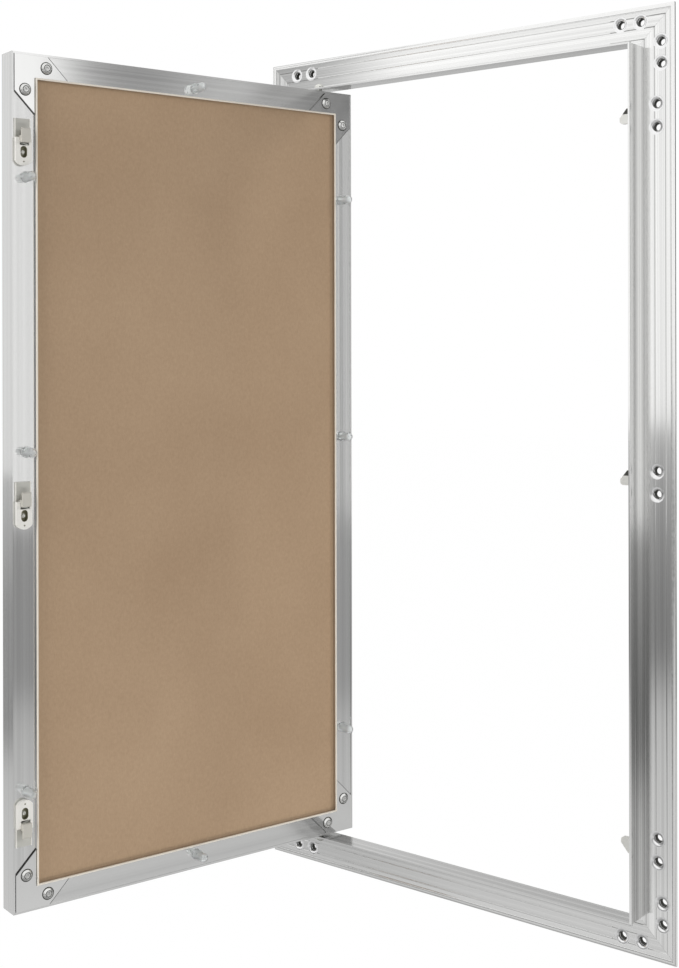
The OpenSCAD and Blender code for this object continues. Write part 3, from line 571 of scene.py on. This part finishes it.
class PANEL_OT_rivets(bpy.types.Operator):
    """Makes the hollow rivets of the frame and the large-head rivets of the leaf"""

    bl_idname = "panel.rivets"
    bl_label = "Make rivets"

    # Points round a rivet
    ROUND = 48
    # Radius and height in millimetres of the leaf's rivet: edge, coned side, top with a ring groove, stem
    HEAD = [(0, -1.0), (2.4, -1.0), (2.4, 0.0), (8.0, 0.0), (8.0, 0.8), (5.6, 3.4), (5.0, 3.4), (4.7, 2.8),
            (4.3, 2.8), (4.0, 3.2), (1.6, 3.0), (1.5, 1.6), (0, 1.5)]
    # Sections of the dark rings of painted shade round its foot and in its groove
    SHADE_RINGS = [[(7.8, 0.0), (9.0, 0.0), (9.0, 0.3), (7.8, 0.3), (7.8, 0.0)],
             [(4.2, 2.7), (5.1, 2.7), (5.1, 3.2), (4.2, 3.2), (4.2, 2.7)]]
    # Radius and height of a hollow rivet's mouth, from its bore to the rim of its dish
    MOUTH = [(5.8, -1.1), (6.05, -0.6), (6.6, -0.1), (7.4, 0.42), (8.6, 0.8), (10.0, 0.99), (11.3, 1.06)]
    # Radii of its bore, shank and bulge, length of its barrel, and radius of the dark lining of painted shade in its
    # bore
    BORE, SHANK, BULGE, BARREL, SLEEVE = 5.8, 6.6, 8.1, 7.0, 5.85

    def execute(self, context):
        sizes, colours = context.scene.panel_sizes, context.scene.panel_colours
        finish = bright_metal("Aluminium, bright rivet", colours.rivet, 1.0, 0.14, 0.26, 3 * MM)
        # Painted shade: dark finish of the linings in the hollow rivets' bores and of the rings at the leaf rivets
        black = bright_metal("Steel, blackened", colours.dark, 0.5, 0.4, 0.55, 2 * MM)
        along = np.array([sizes.corner_rivet_first, sizes.corner_rivet_second])
        wide, high, edge = sizes.frame_half_width, sizes.frame_half_height, sizes.corner_rivet_edge
        sides = np.array([(x, z) for x in (-1, 1) for z in (-1, 1)])
        in_corner = np.array([(wide - a, 0, high - edge) for a in along]
                             + [(wide - edge, 0, high - a) for a in along])
        places = (in_corner[None] * np.insert(sides, 1, 1, axis=1)[:, None]).reshape(-1, 3)
        tube, bore_shade = self.hollow(sizes, sizes.bracket_thickness)
        piece("frame_rivets", *copies(*tube, places), finish, "frame", "rivet_metal", ["frame_corner_rivets"])
        # Painted shade: dark linings in the frame rivets' bores
        piece("frame_rivet_sleeves", *copies(*bore_shade, places), black, "frame", "zinc_steel")
        row = np.array([-1, 0, 1]) * sizes.striker_height
        pair = np.array([-1, 1]) * sizes.striker_rivet_pitch / 2
        heights = (row[:, None] + pair).ravel()
        places = np.stack([np.full(6, wide - sizes.striker_rivet_edge), np.zeros(6), heights], -1)
        tube, bore_shade = self.hollow(sizes, sizes.striker_plate)
        piece("striker_rivet_heads", *copies(*tube, places), finish, "frame", "rivet_metal", ["striker_rivets"])
        # Painted shade: dark linings in the striker rivets' bores
        piece("striker_rivet_sleeves", *copies(*bore_shade, places), black, "frame", "zinc_steel")
        points, quads = turned(rounded(self.HEAD, 0.5), self.ROUND)
        half = np.array([sizes.leaf_width / 2, sizes.leaf_height / 2])
        near = np.array([(half[0] - sizes.leaf_rivet_at, half[1] - sizes.leaf_rivet_edge),
                         (half[0] - sizes.leaf_rivet_edge, half[1] - sizes.leaf_rivet_at)])
        flat = (near[None] * sides[:, None]).reshape(-1, 2)
        places = np.insert(flat, 1, sizes.leaf_rear + sizes.plate_thickness, axis=1)
        points, quads = copies(points, quads, places)
        dull = bright_metal("Aluminium, dulled rivet", colours.leaf_rivet, 1.0, 0.2, 0.32, 3 * MM)
        piece("leaf_rivets", on_leaf(points), quads, dull, "leaf", "rivet_metal", ["leaf_corner_rivets"])
        # Painted shade: dark rings round each leaf rivet's foot and in its groove
        points, quads = copies(*joined(*[turned(ring, self.ROUND) for ring in self.SHADE_RINGS]), places)
        piece("leaf_rivet_rings", on_leaf(points), quads, black, "leaf", "zinc_steel")
        return {"FINISHED"}

    def hollow(self, sizes, plate):
        """Hollow rivet and the dark linings of painted shade in its bore: sections of mouth, shank, bulge, barrel
        and bore turned about Y.
        """
        bore, shank, wide = self.BORE, self.SHANK, self.SLEEVE
        back = (sizes.dish_depth - sizes.flange_thickness - plate) / MM
        end = back - self.BARREL
        outside = [(7.4, 0.0), (shank, -0.6), (shank, back), (self.BULGE, back), (shank, back - 1.6), (shank, end)]
        inside = [(bore, end), (bore, back - 2.0), (6.8, back - 0.6), (bore, back + 0.8), self.MOUTH[0]]
        tube = turned(rounded(self.MOUTH + outside + inside, 0.25), self.ROUND)
        sleeves = [turned([(wide, high), (5.6, high), (inner, low), (wide, low), (wide, high)], self.ROUND)
                   for high, inner, low in ((-1.2, 5.6, back + 0.9), (back - 2.1, 4.6, end + 0.1))]
        flip, seat = (1, -1, 1), (0, sizes.dish_depth, 0)
        return [(points * flip + seat, quads) for points, quads in (tube, joined(*sleeves))]


class PANEL_OT_strikers(bpy.types.Operator):
    """Gives the strikers their cast zinc finish, and the two upper ones black patches of painted shade"""

    bl_idname = "panel.strikers"
    bl_label = "Dress strikers"

    # Corners of a patch of painted shade in millimetres: reach into the opening and height over the tongue's middle
    SHADE_PATCH = [(14, 7.0), (25.2, 7.0), (19.4, 14.3), (14, 14.5)]
    # Its depth in the tongue and height over it
    SUNK, PROUD = 0.2, 0.6

    def execute(self, context):
        sizes, colours = context.scene.panel_sizes, context.scene.panel_colours
        dress([f"striker_{place}" for place in LATCHES],
              bright_metal("Zinc casting", colours.casting, 0.5, 0.3, 0.45, 4 * MM))
        outline = np.array(self.SHADE_PATCH) * (-1, 1) + (sizes.opening_half_width / MM, 0)
        front = sizes.tongue_front / MM
        foot, top = front + self.SUNK, front - self.PROUD
        shape = shell(outline, [(0, foot), (1, foot), (1, top), (0, top)])
        # Painted shade: black patches on the top and middle strikers only, where their tongues look dark
        places = [(0, 0, 0), (0, 0, sizes.striker_height)]
        finish = moulded_plastic("Rubber pad, black", colours.dark)
        piece("striker_pads", *copies(*shape, places), finish, "frame", "grey_nylon")
        return {"FINISHED"}


class PANEL_OT_boards(bpy.types.Operator):
    """Gives the two plasterboard layers their paper"""

    bl_idname = "panel.boards"
    bl_label = "Dress boards"

    def execute(self, context):
        colours = context.scene.panel_colours
        kraft = paper("Kraft paper of plasterboard", colours.kraft_dark, colours.kraft_light, 0.9 * MM, 190 * MM)
        dress(["board_rear"], kraft)
        dark, light = scaled(colours.ivory, 0.95)[:3], scaled(colours.ivory, 1.03)[:3]
        dress(["board_front"], paper("Ivory paper of plasterboard", dark, light, 1.2 * MM, 240 * MM))
        return {"FINISHED"}


def screw_places(sizes):
    """The board screws' places in the closed leaf's plane, at its rear face."""
    side = sizes.leaf_width / 2 - sizes.screw_edge
    heights = [sizes.screw_top, sizes.screw_middle, -sizes.screw_bottom]
    end = sizes.leaf_height / 2 - sizes.screw_edge
    flat = [(x, z) for x in (-side, side) for z in heights] + [(0, end), (0, -end)]
    return np.insert(np.array(flat), 1, sizes.leaf_rear, axis=1)


class PANEL_OT_screws(bpy.types.Operator):
    """Makes the board screws with their threads and cross recesses"""

    bl_idname = "panel.screws"
    bl_label = "Make board screws"

    # Radius of the shank's core, height of its thread, length of its taper; radius and height of the head
    CORE, RIDGE, TAPER = 1.5 * MM, 0.5 * MM, 5 * MM
    HEAD, CONE = 4.2 * MM, 3.4 * MM
    # Rows and points of the shank; rows of the head's cone and of its disc, and its points
    SHANK_GRID = (190, 20)
    HEAD_GRID = (6, 16, 48)

    def execute(self, context):
        sizes, colours = context.scene.panel_sizes, context.scene.panel_colours
        finish = bright_metal("Steel screw, zinc plated", colours.zinc, 1.0, 0.22, 0.36, 2 * MM)
        shape = joined(self.shank(sizes), self.head(sizes))
        points, quads = copies(*shape, screw_places(sizes))
        piece("board_screw_set", on_leaf(points), quads, finish, "leaf", "zinc_steel", ["board_screws"])
        return {"FINISHED"}

    def shank(self, sizes):
        """Threaded shank: core radius plus a ridge, highest half a turn off height over pitch, down to a point."""
        rows, steps = self.SHANK_GRID
        height = np.linspace(self.CONE - sizes.leaf_depth, sizes.screw_point, rows)[:, None]
        turn = np.linspace(0, 1, steps, endpoint=False)[None]
        phase = (height / sizes.thread_pitch - turn) % 1
        ridge = np.clip(1 - np.abs(phase - 0.5) / 0.22, 0, 1)
        taper = np.clip((sizes.screw_point - height) / self.TAPER, 0, 1)
        radius = (self.CORE + self.RIDGE * ridge) * taper
        angle = 2 * np.pi * turn
        points = np.stack([radius * np.cos(angle), height + 0 * turn, radius * np.sin(angle)], -1)
        return points.reshape(-1, 3), grid_quads(rows, steps)

    def head(self, sizes):
        """Countersunk head: a cone under a disc with a sunk cross, where x or z is under half an arm's width."""
        cone, disc, steps = self.HEAD_GRID
        edge = 0.05 * MM
        arm_width, fade, arm_end, arm_fade, sunk = 0.6 * MM, 0.2 * MM, 2.3 * MM, 1.2 * MM, 1.6 * MM
        out, back = np.linspace(self.CORE, self.HEAD, cone), np.linspace(self.HEAD, 0, disc)
        radius = np.concatenate([out, back])[:, None]
        under = np.concatenate([np.linspace(self.CONE, edge, cone), np.full(disc, edge)])[:, None]
        turn = np.linspace(0, 2 * np.pi, steps, endpoint=False)[None]
        x, z = radius * np.cos(turn), radius * np.sin(turn)
        arm = np.minimum(np.abs(x), np.abs(z))
        recess = np.clip((arm_width - arm) / fade, 0, 1) * np.clip((arm_end - radius) / arm_fade, 0, 1)
        recess[:cone] = 0
        height = under + recess * sunk - sizes.leaf_depth
        return np.stack([x, height, z], -1).reshape(-1, 3), grid_quads(cone + disc, steps)


class PANEL_OT_caps(bpy.types.Operator):
    """Makes the soft clear caps over the board screws' points"""

    bl_idname = "panel.caps"
    bl_label = "Make screw caps"

    # In millimetres: radius of the dome and of the bore, wall over the bore, and radius and height round the foot
    DOME, BORE, CROWN = 6.3, 4.2, 4.0
    FOOT = [(5.0, 0), (8.0, 0), (8.0, 1.2), (7.0, 1.25)]
    # Points round a cap
    ROUND = 40

    def execute(self, context):
        sizes = context.scene.panel_sizes
        top = sizes.cap_height / MM
        outside, inside = (self.DOME, top - self.DOME), (self.BORE, top - self.CROWN - self.BORE)
        arc = np.linspace(0, np.pi / 2, 10)[1:]
        dome, hollow = [np.stack([radius * np.cos(arc), base + radius * np.sin(arc)], -1)
                        for radius, base in (outside, inside)]
        profile = np.concatenate([rounded(self.FOOT + [outside], 0.45), dome])
        inner = np.concatenate([hollow[::-1], [inside, self.FOOT[0]]])
        shape = joined(turned(profile, self.ROUND), turned(inner, self.ROUND))
        points, quads = copies(*shape, screw_places(sizes))
        finish = clear_plastic("Soft clear plastic", context.scene.panel_colours.clear)
        piece("screw_cap_set", on_leaf(points), quads, finish, "leaf", "clear_plastic", ["screw_caps"])
        return {"FINISHED"}


class PANEL_OT_latches(bpy.types.Operator):
    """Gives the touch latches their moulded and metal finishes, and makes dark linings of painted shade in their
    screw wells and in the hole at each latch's foot
    """

    bl_idname = "panel.latches"
    bl_label = "Dress latches"

    # Radius and height in millimetres of the dark plug of painted shade in the hole at a latch's foot
    HOLE_SHADE = [(0, 2.1), (1.15, 2.1), (1.15, 6.95), (0, 6.95)]
    # A screw well's dark lining of painted shade: radius of its round ends, their distance from its middle, share
    # and height of each row
    CUP_RADIUS, CUP_REACH = 4.9, 3.25
    CUP_ROWS = [(0, 2.02), (1, 2.02), (1, 6.7), (0.95, 6.7), (0.92, 2.3), (0, 2.3)]
    # Heights over a housing's floor between which its painted shade fades
    FLOOR_SHADE = (0.1 * MM, 0.7 * MM)

    def execute(self, context):
        sizes, colours = context.scene.panel_sizes, context.scene.panel_colours
        housing = moulded_plastic("White nylon, moulded", colours.nylon)
        normal, rear = leaf_rear(sizes)
        floor = rear + sizes.latch_base
        # Painted shade: the housings' floors are greyed up to these heights
        shade_below(housing, colours.shade, normal, floor + self.FLOOR_SHADE[0], floor + self.FLOOR_SHADE[1])
        dress([f"latch_housing_{place}" for place in LATCHES], housing)
        dress([f"latch_catch_{place}" for place in LATCHES],
              moulded_plastic("Grey nylon, moulded", colours.catch))
        dress([f"latch_spring_{place}" for place in LATCHES],
              bright_metal("Spring steel strip", colours.spring, 0.5, 0.3, 0.45, 2 * MM))
        dress(["latch_screws"], bright_metal("Steel screw, bright", colours.screw, 0.3, 0.2, 0.34, 2 * MM))
        points, quads = joined(self.at_latches(sizes, self.cup(), sizes.latch_well),
                               self.at_latches(sizes, turned(self.HOLE_SHADE, 24), sizes.latch_hole_shade))
        # Painted shade: olive linings darken the screw wells and the holes at the latches' feet
        finish = bright_metal("Steel cup, olive", colours.well, 0.3, 0.4, 0.55, 2 * MM)
        piece("latch_screw_cups", on_leaf(points), quads, finish, "leaf", "zinc_steel")
        return {"FINISHED"}

    @staticmethod
    def at_latches(sizes, shape, away):
        """A shape at the three latches, away from the middle of each striker; the bottom latch is upside down."""
        heights = (sizes.striker_height - away, -away, away - sizes.striker_height)
        return copies(*shape, [(sizes.latch_at, sizes.leaf_rear, height) for height in heights])

    def cup(self):
        """Dark lining of painted shade in a screw well: an outline of two half circles set apart, as outer wall,
        rim, inner wall, floor.
        """
        turn = np.linspace(0, 2 * np.pi, 40, endpoint=False)
        across, along = self.CUP_RADIUS * np.cos(turn), self.CUP_RADIUS * np.sin(turn)
        outline = np.stack([across, along + self.CUP_REACH * np.sign(np.sin(turn))], -1)
        return shell(outline, self.CUP_ROWS)


class PANEL_OT_pivots(bpy.types.Operator):
    """Gives the pivot bolts, bushes and blocks their finishes"""

    bl_idname = "panel.pivots"
    bl_label = "Dress pivots"

    def execute(self, context):
        colours = context.scene.panel_colours
        steel = bright_metal("Steel, zinc plated", colours.zinc, 1.0, 0.18, 0.32, 5 * MM)
        dress([f"pivot_bolt_{end}" for end in ENDS] + [f"pivot_block_{end}" for end in ENDS], steel)
        dress([f"pivot_bush_{end}" for end in ENDS], moulded_plastic("White nylon, bush", colours.nylon))
        return {"FINISHED"}


class PANEL_OT_studio(bpy.types.Operator):
    """Sets up the white studio, its lamps, cards and camera"""

    bl_idname = "panel.studio"
    bl_label = "Set up studio"

    # Cards round the object by their turn from +X towards +Y in degrees. White cards: their level, and the sine of
    # their foot's height. Grey cards below them: their least level, their share, and the move of their pattern
    WHITE = [(-180, 0.63), (-160, 0.67), (-146, 0.95), (-136, 0.95), (-134.5, 0.39), (-128.5, 0.45),
             (-125.5, 1.0), (-115, 0.9), (-104, 0.92), (-98, 0.8), (-78, 0.8), (-70, 1.05), (-58, 1.05),
             (-50, 0.7), (-44, 0.14), (-33, 0.14), (-29, 0.5), (-14, 0.5), (-3, 0.8), (11.6, 0.95), (12.8, 0.29),
             (15.5, 0.28), (19.8, 0.58), (21.8, 0.2), (26.5, 0.18), (28.5, 1.2), (47, 1.2), (49, 0.1), (95, 0.1),
             (123, 0.42), (150, 0.95), (180, 0.63)]
    FOOT = [(-180, -0.09), (-162, -0.09), (-156, -0.3), (-141, -0.3), (-136, -0.0565), (-104, -0.0565),
            (-95, -0.02), (-80, 0.0), (-70, -0.13), (180, -0.12)]
    LEAST = [(-180, 0.24), (-160, 0.24), (-130, 0.2), (-64, 0.12), (-30, 0.1), (-3, 0.26), (11, 0.26),
             (23.5, 0.33), (49, 0.1), (90, 0.2), (123, 0.42), (150, 0.3), (180, 0.24)]
    SHARE = [(-180, 0.92), (-150, 0.95), (-128, 0.78), (-122, 0.95), (-117, 1.0), (-60, 1.0), (-5, 0.86),
             (30, 0.84), (180, 0.92)]
    MOVED = [(-180, 0.0), (-165, 0.0), (-140, -0.039), (-105, -0.039), (-64, 0.03), (-10, -0.02), (10, -0.03),
             (64, -0.02), (123, 0.0), (180, 0.0)]
    # Pattern of the grey cards: level over the sine of height
    GREY = [(-1.0, 0.3), (-0.7, 0.35), (-0.55, 0.5), (-0.42, 0.7), (-0.392, 0.6), (-0.332, 0.56), (-0.294, 0.5),
            (-0.274, 0.34), (-0.255, 0.21), (-0.215, 0.218), (-0.174, 0.273), (-0.108, 0.42), (0.0, 0.46)]
    # Card overhead: its level, and the sines of height between which the white cards pass into it
    OVERHEAD, OVERHEAD_FROM, OVERHEAD_TO = 0.95, 0.35, 0.6
    # Sine of height over which a white card's foot fades into the grey
    FADE = 0.004
    # Radius of the cards and half the floor's side, in metres
    REACH = 30.0
    # Places and sizes of the lamps in metres
    LAMPS = {"key": ((3.5, 1.5, 1.6), 1.2), "front": ((-0.8, -4.2, 1.0), 2.4), "low": ((1.9, -0.9, -1.9), 1.6)}
    # Camera: lens and sensor in millimetres, shift, place in metres, and tilt, roll and turn in degrees
    LENS, SENSOR, SHIFT = 52.58, 36, (0.0450, -0.1441)
    VIEW_PLACE, VIEW_TURN = (1.1775, -1.8191, 0.1914), (90, 0.115, 39.284)

    def execute(self, context):
        studio = context.scene.panel_studio
        context.scene.view_settings.view_transform = "Standard"
        self.world(context.scene, studio)
        self.floor(studio)
        self.card(studio)
        for name, (place, size) in self.LAMPS.items():
            self.lamp(name, place, size, getattr(studio, f"{name}_power"))
        self.camera(context.scene)
        return {"FINISHED"}

    @staticmethod
    def seen(tree):
        """One for rays that show the background: from the camera, from gloss and through clear pieces."""
        path = add(tree, "ShaderNodeLightPath")
        first = add(tree, "ShaderNodeMath", {0: path.outputs["Is Camera Ray"],
                    1: path.outputs["Is Glossy Ray"]}, operation="MAXIMUM").outputs[0]
        return add(tree, "ShaderNodeMath", {0: first, 1: path.outputs["Is Transmission Ray"]},
                   operation="MAXIMUM").outputs[0]

    def world(self, scene, studio):
        """White behind the object, and an even, weaker light on it."""
        scene.world = bpy.data.worlds.new("Studio sky")
        scene.world.use_nodes = True
        tree = scene.world.node_tree
        tree.nodes.clear()
        strength = add(tree, "ShaderNodeMapRange", {"Value": self.seen(tree), "To Min": studio.sky,
                       "To Max": 1.0})
        light = add(tree, "ShaderNodeBackground", {"Color": (1, 1, 1, 1), "Strength": strength.outputs[0]})
        add(tree, "ShaderNodeOutputWorld", {"Surface": light.outputs[0]})

    def floor(self, studio):
        """A wide pale floor, far enough under the panel to keep only a faint shadow."""
        low, far = CAD_BOX[0][2] - studio.floor_drop, self.REACH
        corners = np.array([(-far, -far, low), (far, -far, low), (far, far, low), (-far, far, low)])
        mesh = bpy.data.meshes.new("studio_floor")
        mesh.from_pydata(corners, [], [(0, 1, 2, 3)])
        finish, tree = material("Painted floor, pale")
        matt = add(tree, "ShaderNodeBsdfDiffuse", {"Color": opaque(linear("#F4F4F4"))})
        glow = add(tree, "ShaderNodeEmission", {"Color": (1, 1, 1, 1), "Strength": 1.012})
        share = add(tree, "ShaderNodeMath", {0: self.seen(tree), 1: 0.98}, operation="MULTIPLY").outputs[0]
        mixed = add(tree, "ShaderNodeMixShader", {0: share, 1: matt.outputs[0], 2: glow.outputs[0]})
        add(tree, "ShaderNodeOutputMaterial", {"Surface": mixed.outputs[0]})
        mesh.materials.append(finish)
        made = bpy.data.objects.new("studio_floor", mesh)
        bpy.context.scene.collection.objects.link(made)
        made.visible_glossy = False

    def card(self, studio):
        """A sphere of cards, seen only in gloss: reach times the unit vector of turn v and rise u."""
        rows, steps = 33, 64
        turn = np.linspace(0, 2 * np.pi, steps, endpoint=False)
        rise = np.linspace(-np.pi / 2, np.pi / 2, rows)
        points = np.stack([np.outer(np.cos(rise), np.cos(turn)), np.outer(np.cos(rise), np.sin(turn)),
                           np.outer(np.sin(rise), np.ones(steps))], -1).reshape(-1, 3)
        mesh = bpy.data.meshes.new("studio_cards")
        mesh.from_pydata(self.REACH * points, [], grid_quads(rows, steps))
        finish, tree = material("Cards, white to grey")
        place = add(tree, "ShaderNodeTexCoord").outputs["Object"]
        way = add(tree, "ShaderNodeVectorMath", {0: place}, operation="NORMALIZE").outputs[0]
        parts = add(tree, "ShaderNodeSeparateXYZ", {0: way})
        height = parts.outputs["Z"]
        angle = add(tree, "ShaderNodeMath", {0: parts.outputs["Y"], 1: parts.outputs["X"]},
                    operation="ARCTAN2").outputs[0]
        degrees = add(tree, "ShaderNodeMath", {0: angle, 1: 180 / math.pi}, operation="MULTIPLY").outputs[0]
        moved_by, part, least, side, foot = [self.ramp(tree, degrees, -180, 180, stops) for stops in
                                             (self.MOVED, self.SHARE, self.LEAST, self.WHITE, self.FOOT)]
        moved = add(tree, "ShaderNodeMath", {0: height, 1: moved_by}).outputs[0]
        pattern = add(tree, "ShaderNodeMath", {0: self.ramp(tree, moved, -1, 1, self.GREY), 1: part},
                      operation="MULTIPLY").outputs[0]
        grey = add(tree, "ShaderNodeMath", {0: pattern, 1: least}, operation="MAXIMUM").outputs[0]
        up = add(tree, "ShaderNodeMapRange", {"Value": height, "From Min": self.OVERHEAD_FROM,
                 "From Max": self.OVERHEAD_TO}).outputs[0]
        white = add(tree, "ShaderNodeMix", {"Factor": up, "A": side, "B": self.OVERHEAD}).outputs[0]
        over = add(tree, "ShaderNodeMath", {0: height, 1: foot}, operation="SUBTRACT").outputs[0]
        share = add(tree, "ShaderNodeMapRange", {"Value": over, "From Max": self.FADE}).outputs[0]
        level = add(tree, "ShaderNodeMix", {"Factor": share, "A": grey, "B": white}).outputs[0]
        bright = add(tree, "ShaderNodeMath", {0: level, 1: studio.card}, operation="MULTIPLY").outputs[0]
        glow = add(tree, "ShaderNodeEmission", {"Color": (1, 1, 1, 1), "Strength": bright})
        add(tree, "ShaderNodeOutputMaterial", {"Surface": glow.outputs[0]})
        mesh.materials.append(finish)
        made = bpy.data.objects.new("studio_cards", mesh)
        bpy.context.scene.collection.objects.link(made)
        made.visible_camera = made.visible_diffuse = made.visible_transmission = made.visible_shadow = False

    @staticmethod
    def ramp(tree, value, low, high, stops):
        """A level over a value from low to high, straight between its stops, each a pair of value and level."""
        levels = [level for _, level in stops]
        least, most = min(levels), max(levels)
        share = add(tree, "ShaderNodeMapRange", {"Value": value, "From Min": low, "From Max": high}).outputs[0]
        made = add(tree, "ShaderNodeValToRGB", {"Fac": share})
        marks = made.color_ramp.elements
        while len(marks) < len(stops):
            marks.new(0.5)
        for mark, (at, level) in zip(marks, stops):
            mark.position = (at - low) / (high - low)
            mark.color = (*[(level - least) / (most - least)] * 3, 1)
        return add(tree, "ShaderNodeMapRange", {"Value": made.outputs["Color"], "To Min": least,
                   "To Max": most}).outputs[0]

    @staticmethod
    def lamp(name, place, size, power):
        """A large square lamp that looks at the panel's middle."""
        data = bpy.data.lights.new(name, "AREA")
        data.size = size
        data.energy = power
        made = bpy.data.objects.new(name, data)
        made.location = place
        made.rotation_euler = (-Vector(place)).to_track_quat("-Z", "Y").to_euler()
        made.visible_glossy = False
        bpy.context.scene.collection.objects.link(made)

    def camera(self, scene):
        """The photograph's view: level, turned to the left, with its frame shifted down and to the right."""
        data = bpy.data.cameras.new("view")
        data.lens, data.sensor_width = self.LENS, self.SENSOR
        data.shift_x, data.shift_y = self.SHIFT
        made = bpy.data.objects.new("view", data)
        made.location = self.VIEW_PLACE
        made.rotation_euler = [math.radians(angle) for angle in self.VIEW_TURN]
        scene.collection.objects.link(made)
        scene.camera = made


class VIEW3D_PT_access_panel(bpy.types.Panel):
    """Lists the panel's steps in the sidebar"""

    bl_label = "Access panel"
    bl_space_type = "VIEW_3D"
    bl_region_type = "UI"
    bl_category = "Access panel"

    def draw(self, context):
        for step in STEPS:
            self.layout.operator(step.bl_idname)


STEPS = [PANEL_OT_profiles, PANEL_OT_lip, PANEL_OT_bead, PANEL_OT_rivets, PANEL_OT_strikers, PANEL_OT_boards,
         PANEL_OT_screws, PANEL_OT_caps, PANEL_OT_latches, PANEL_OT_pivots, PANEL_OT_studio]
GROUPS = {"panel_sizes": PanelSizes, "panel_colours": PanelColours, "panel_studio": PanelStudio}
CLASSES = [*GROUPS.values(), *STEPS, VIEW3D_PT_access_panel]


def register():
    for cls in CLASSES:
        bpy.utils.register_class(cls)
    for name, group in GROUPS.items():
        setattr(bpy.types.Scene, name, bpy.props.PointerProperty(type=group))


def unregister():
    for name in GROUPS:
        delattr(bpy.types.Scene, name)
    for cls in reversed(CLASSES):
        bpy.utils.unregister_class(cls)


def main():
    register()
    for step in STEPS:
        family, name = step.bl_idname.split(".")
        getattr(getattr(bpy.ops, family), name)()


if __name__ == "__main__":
    main()
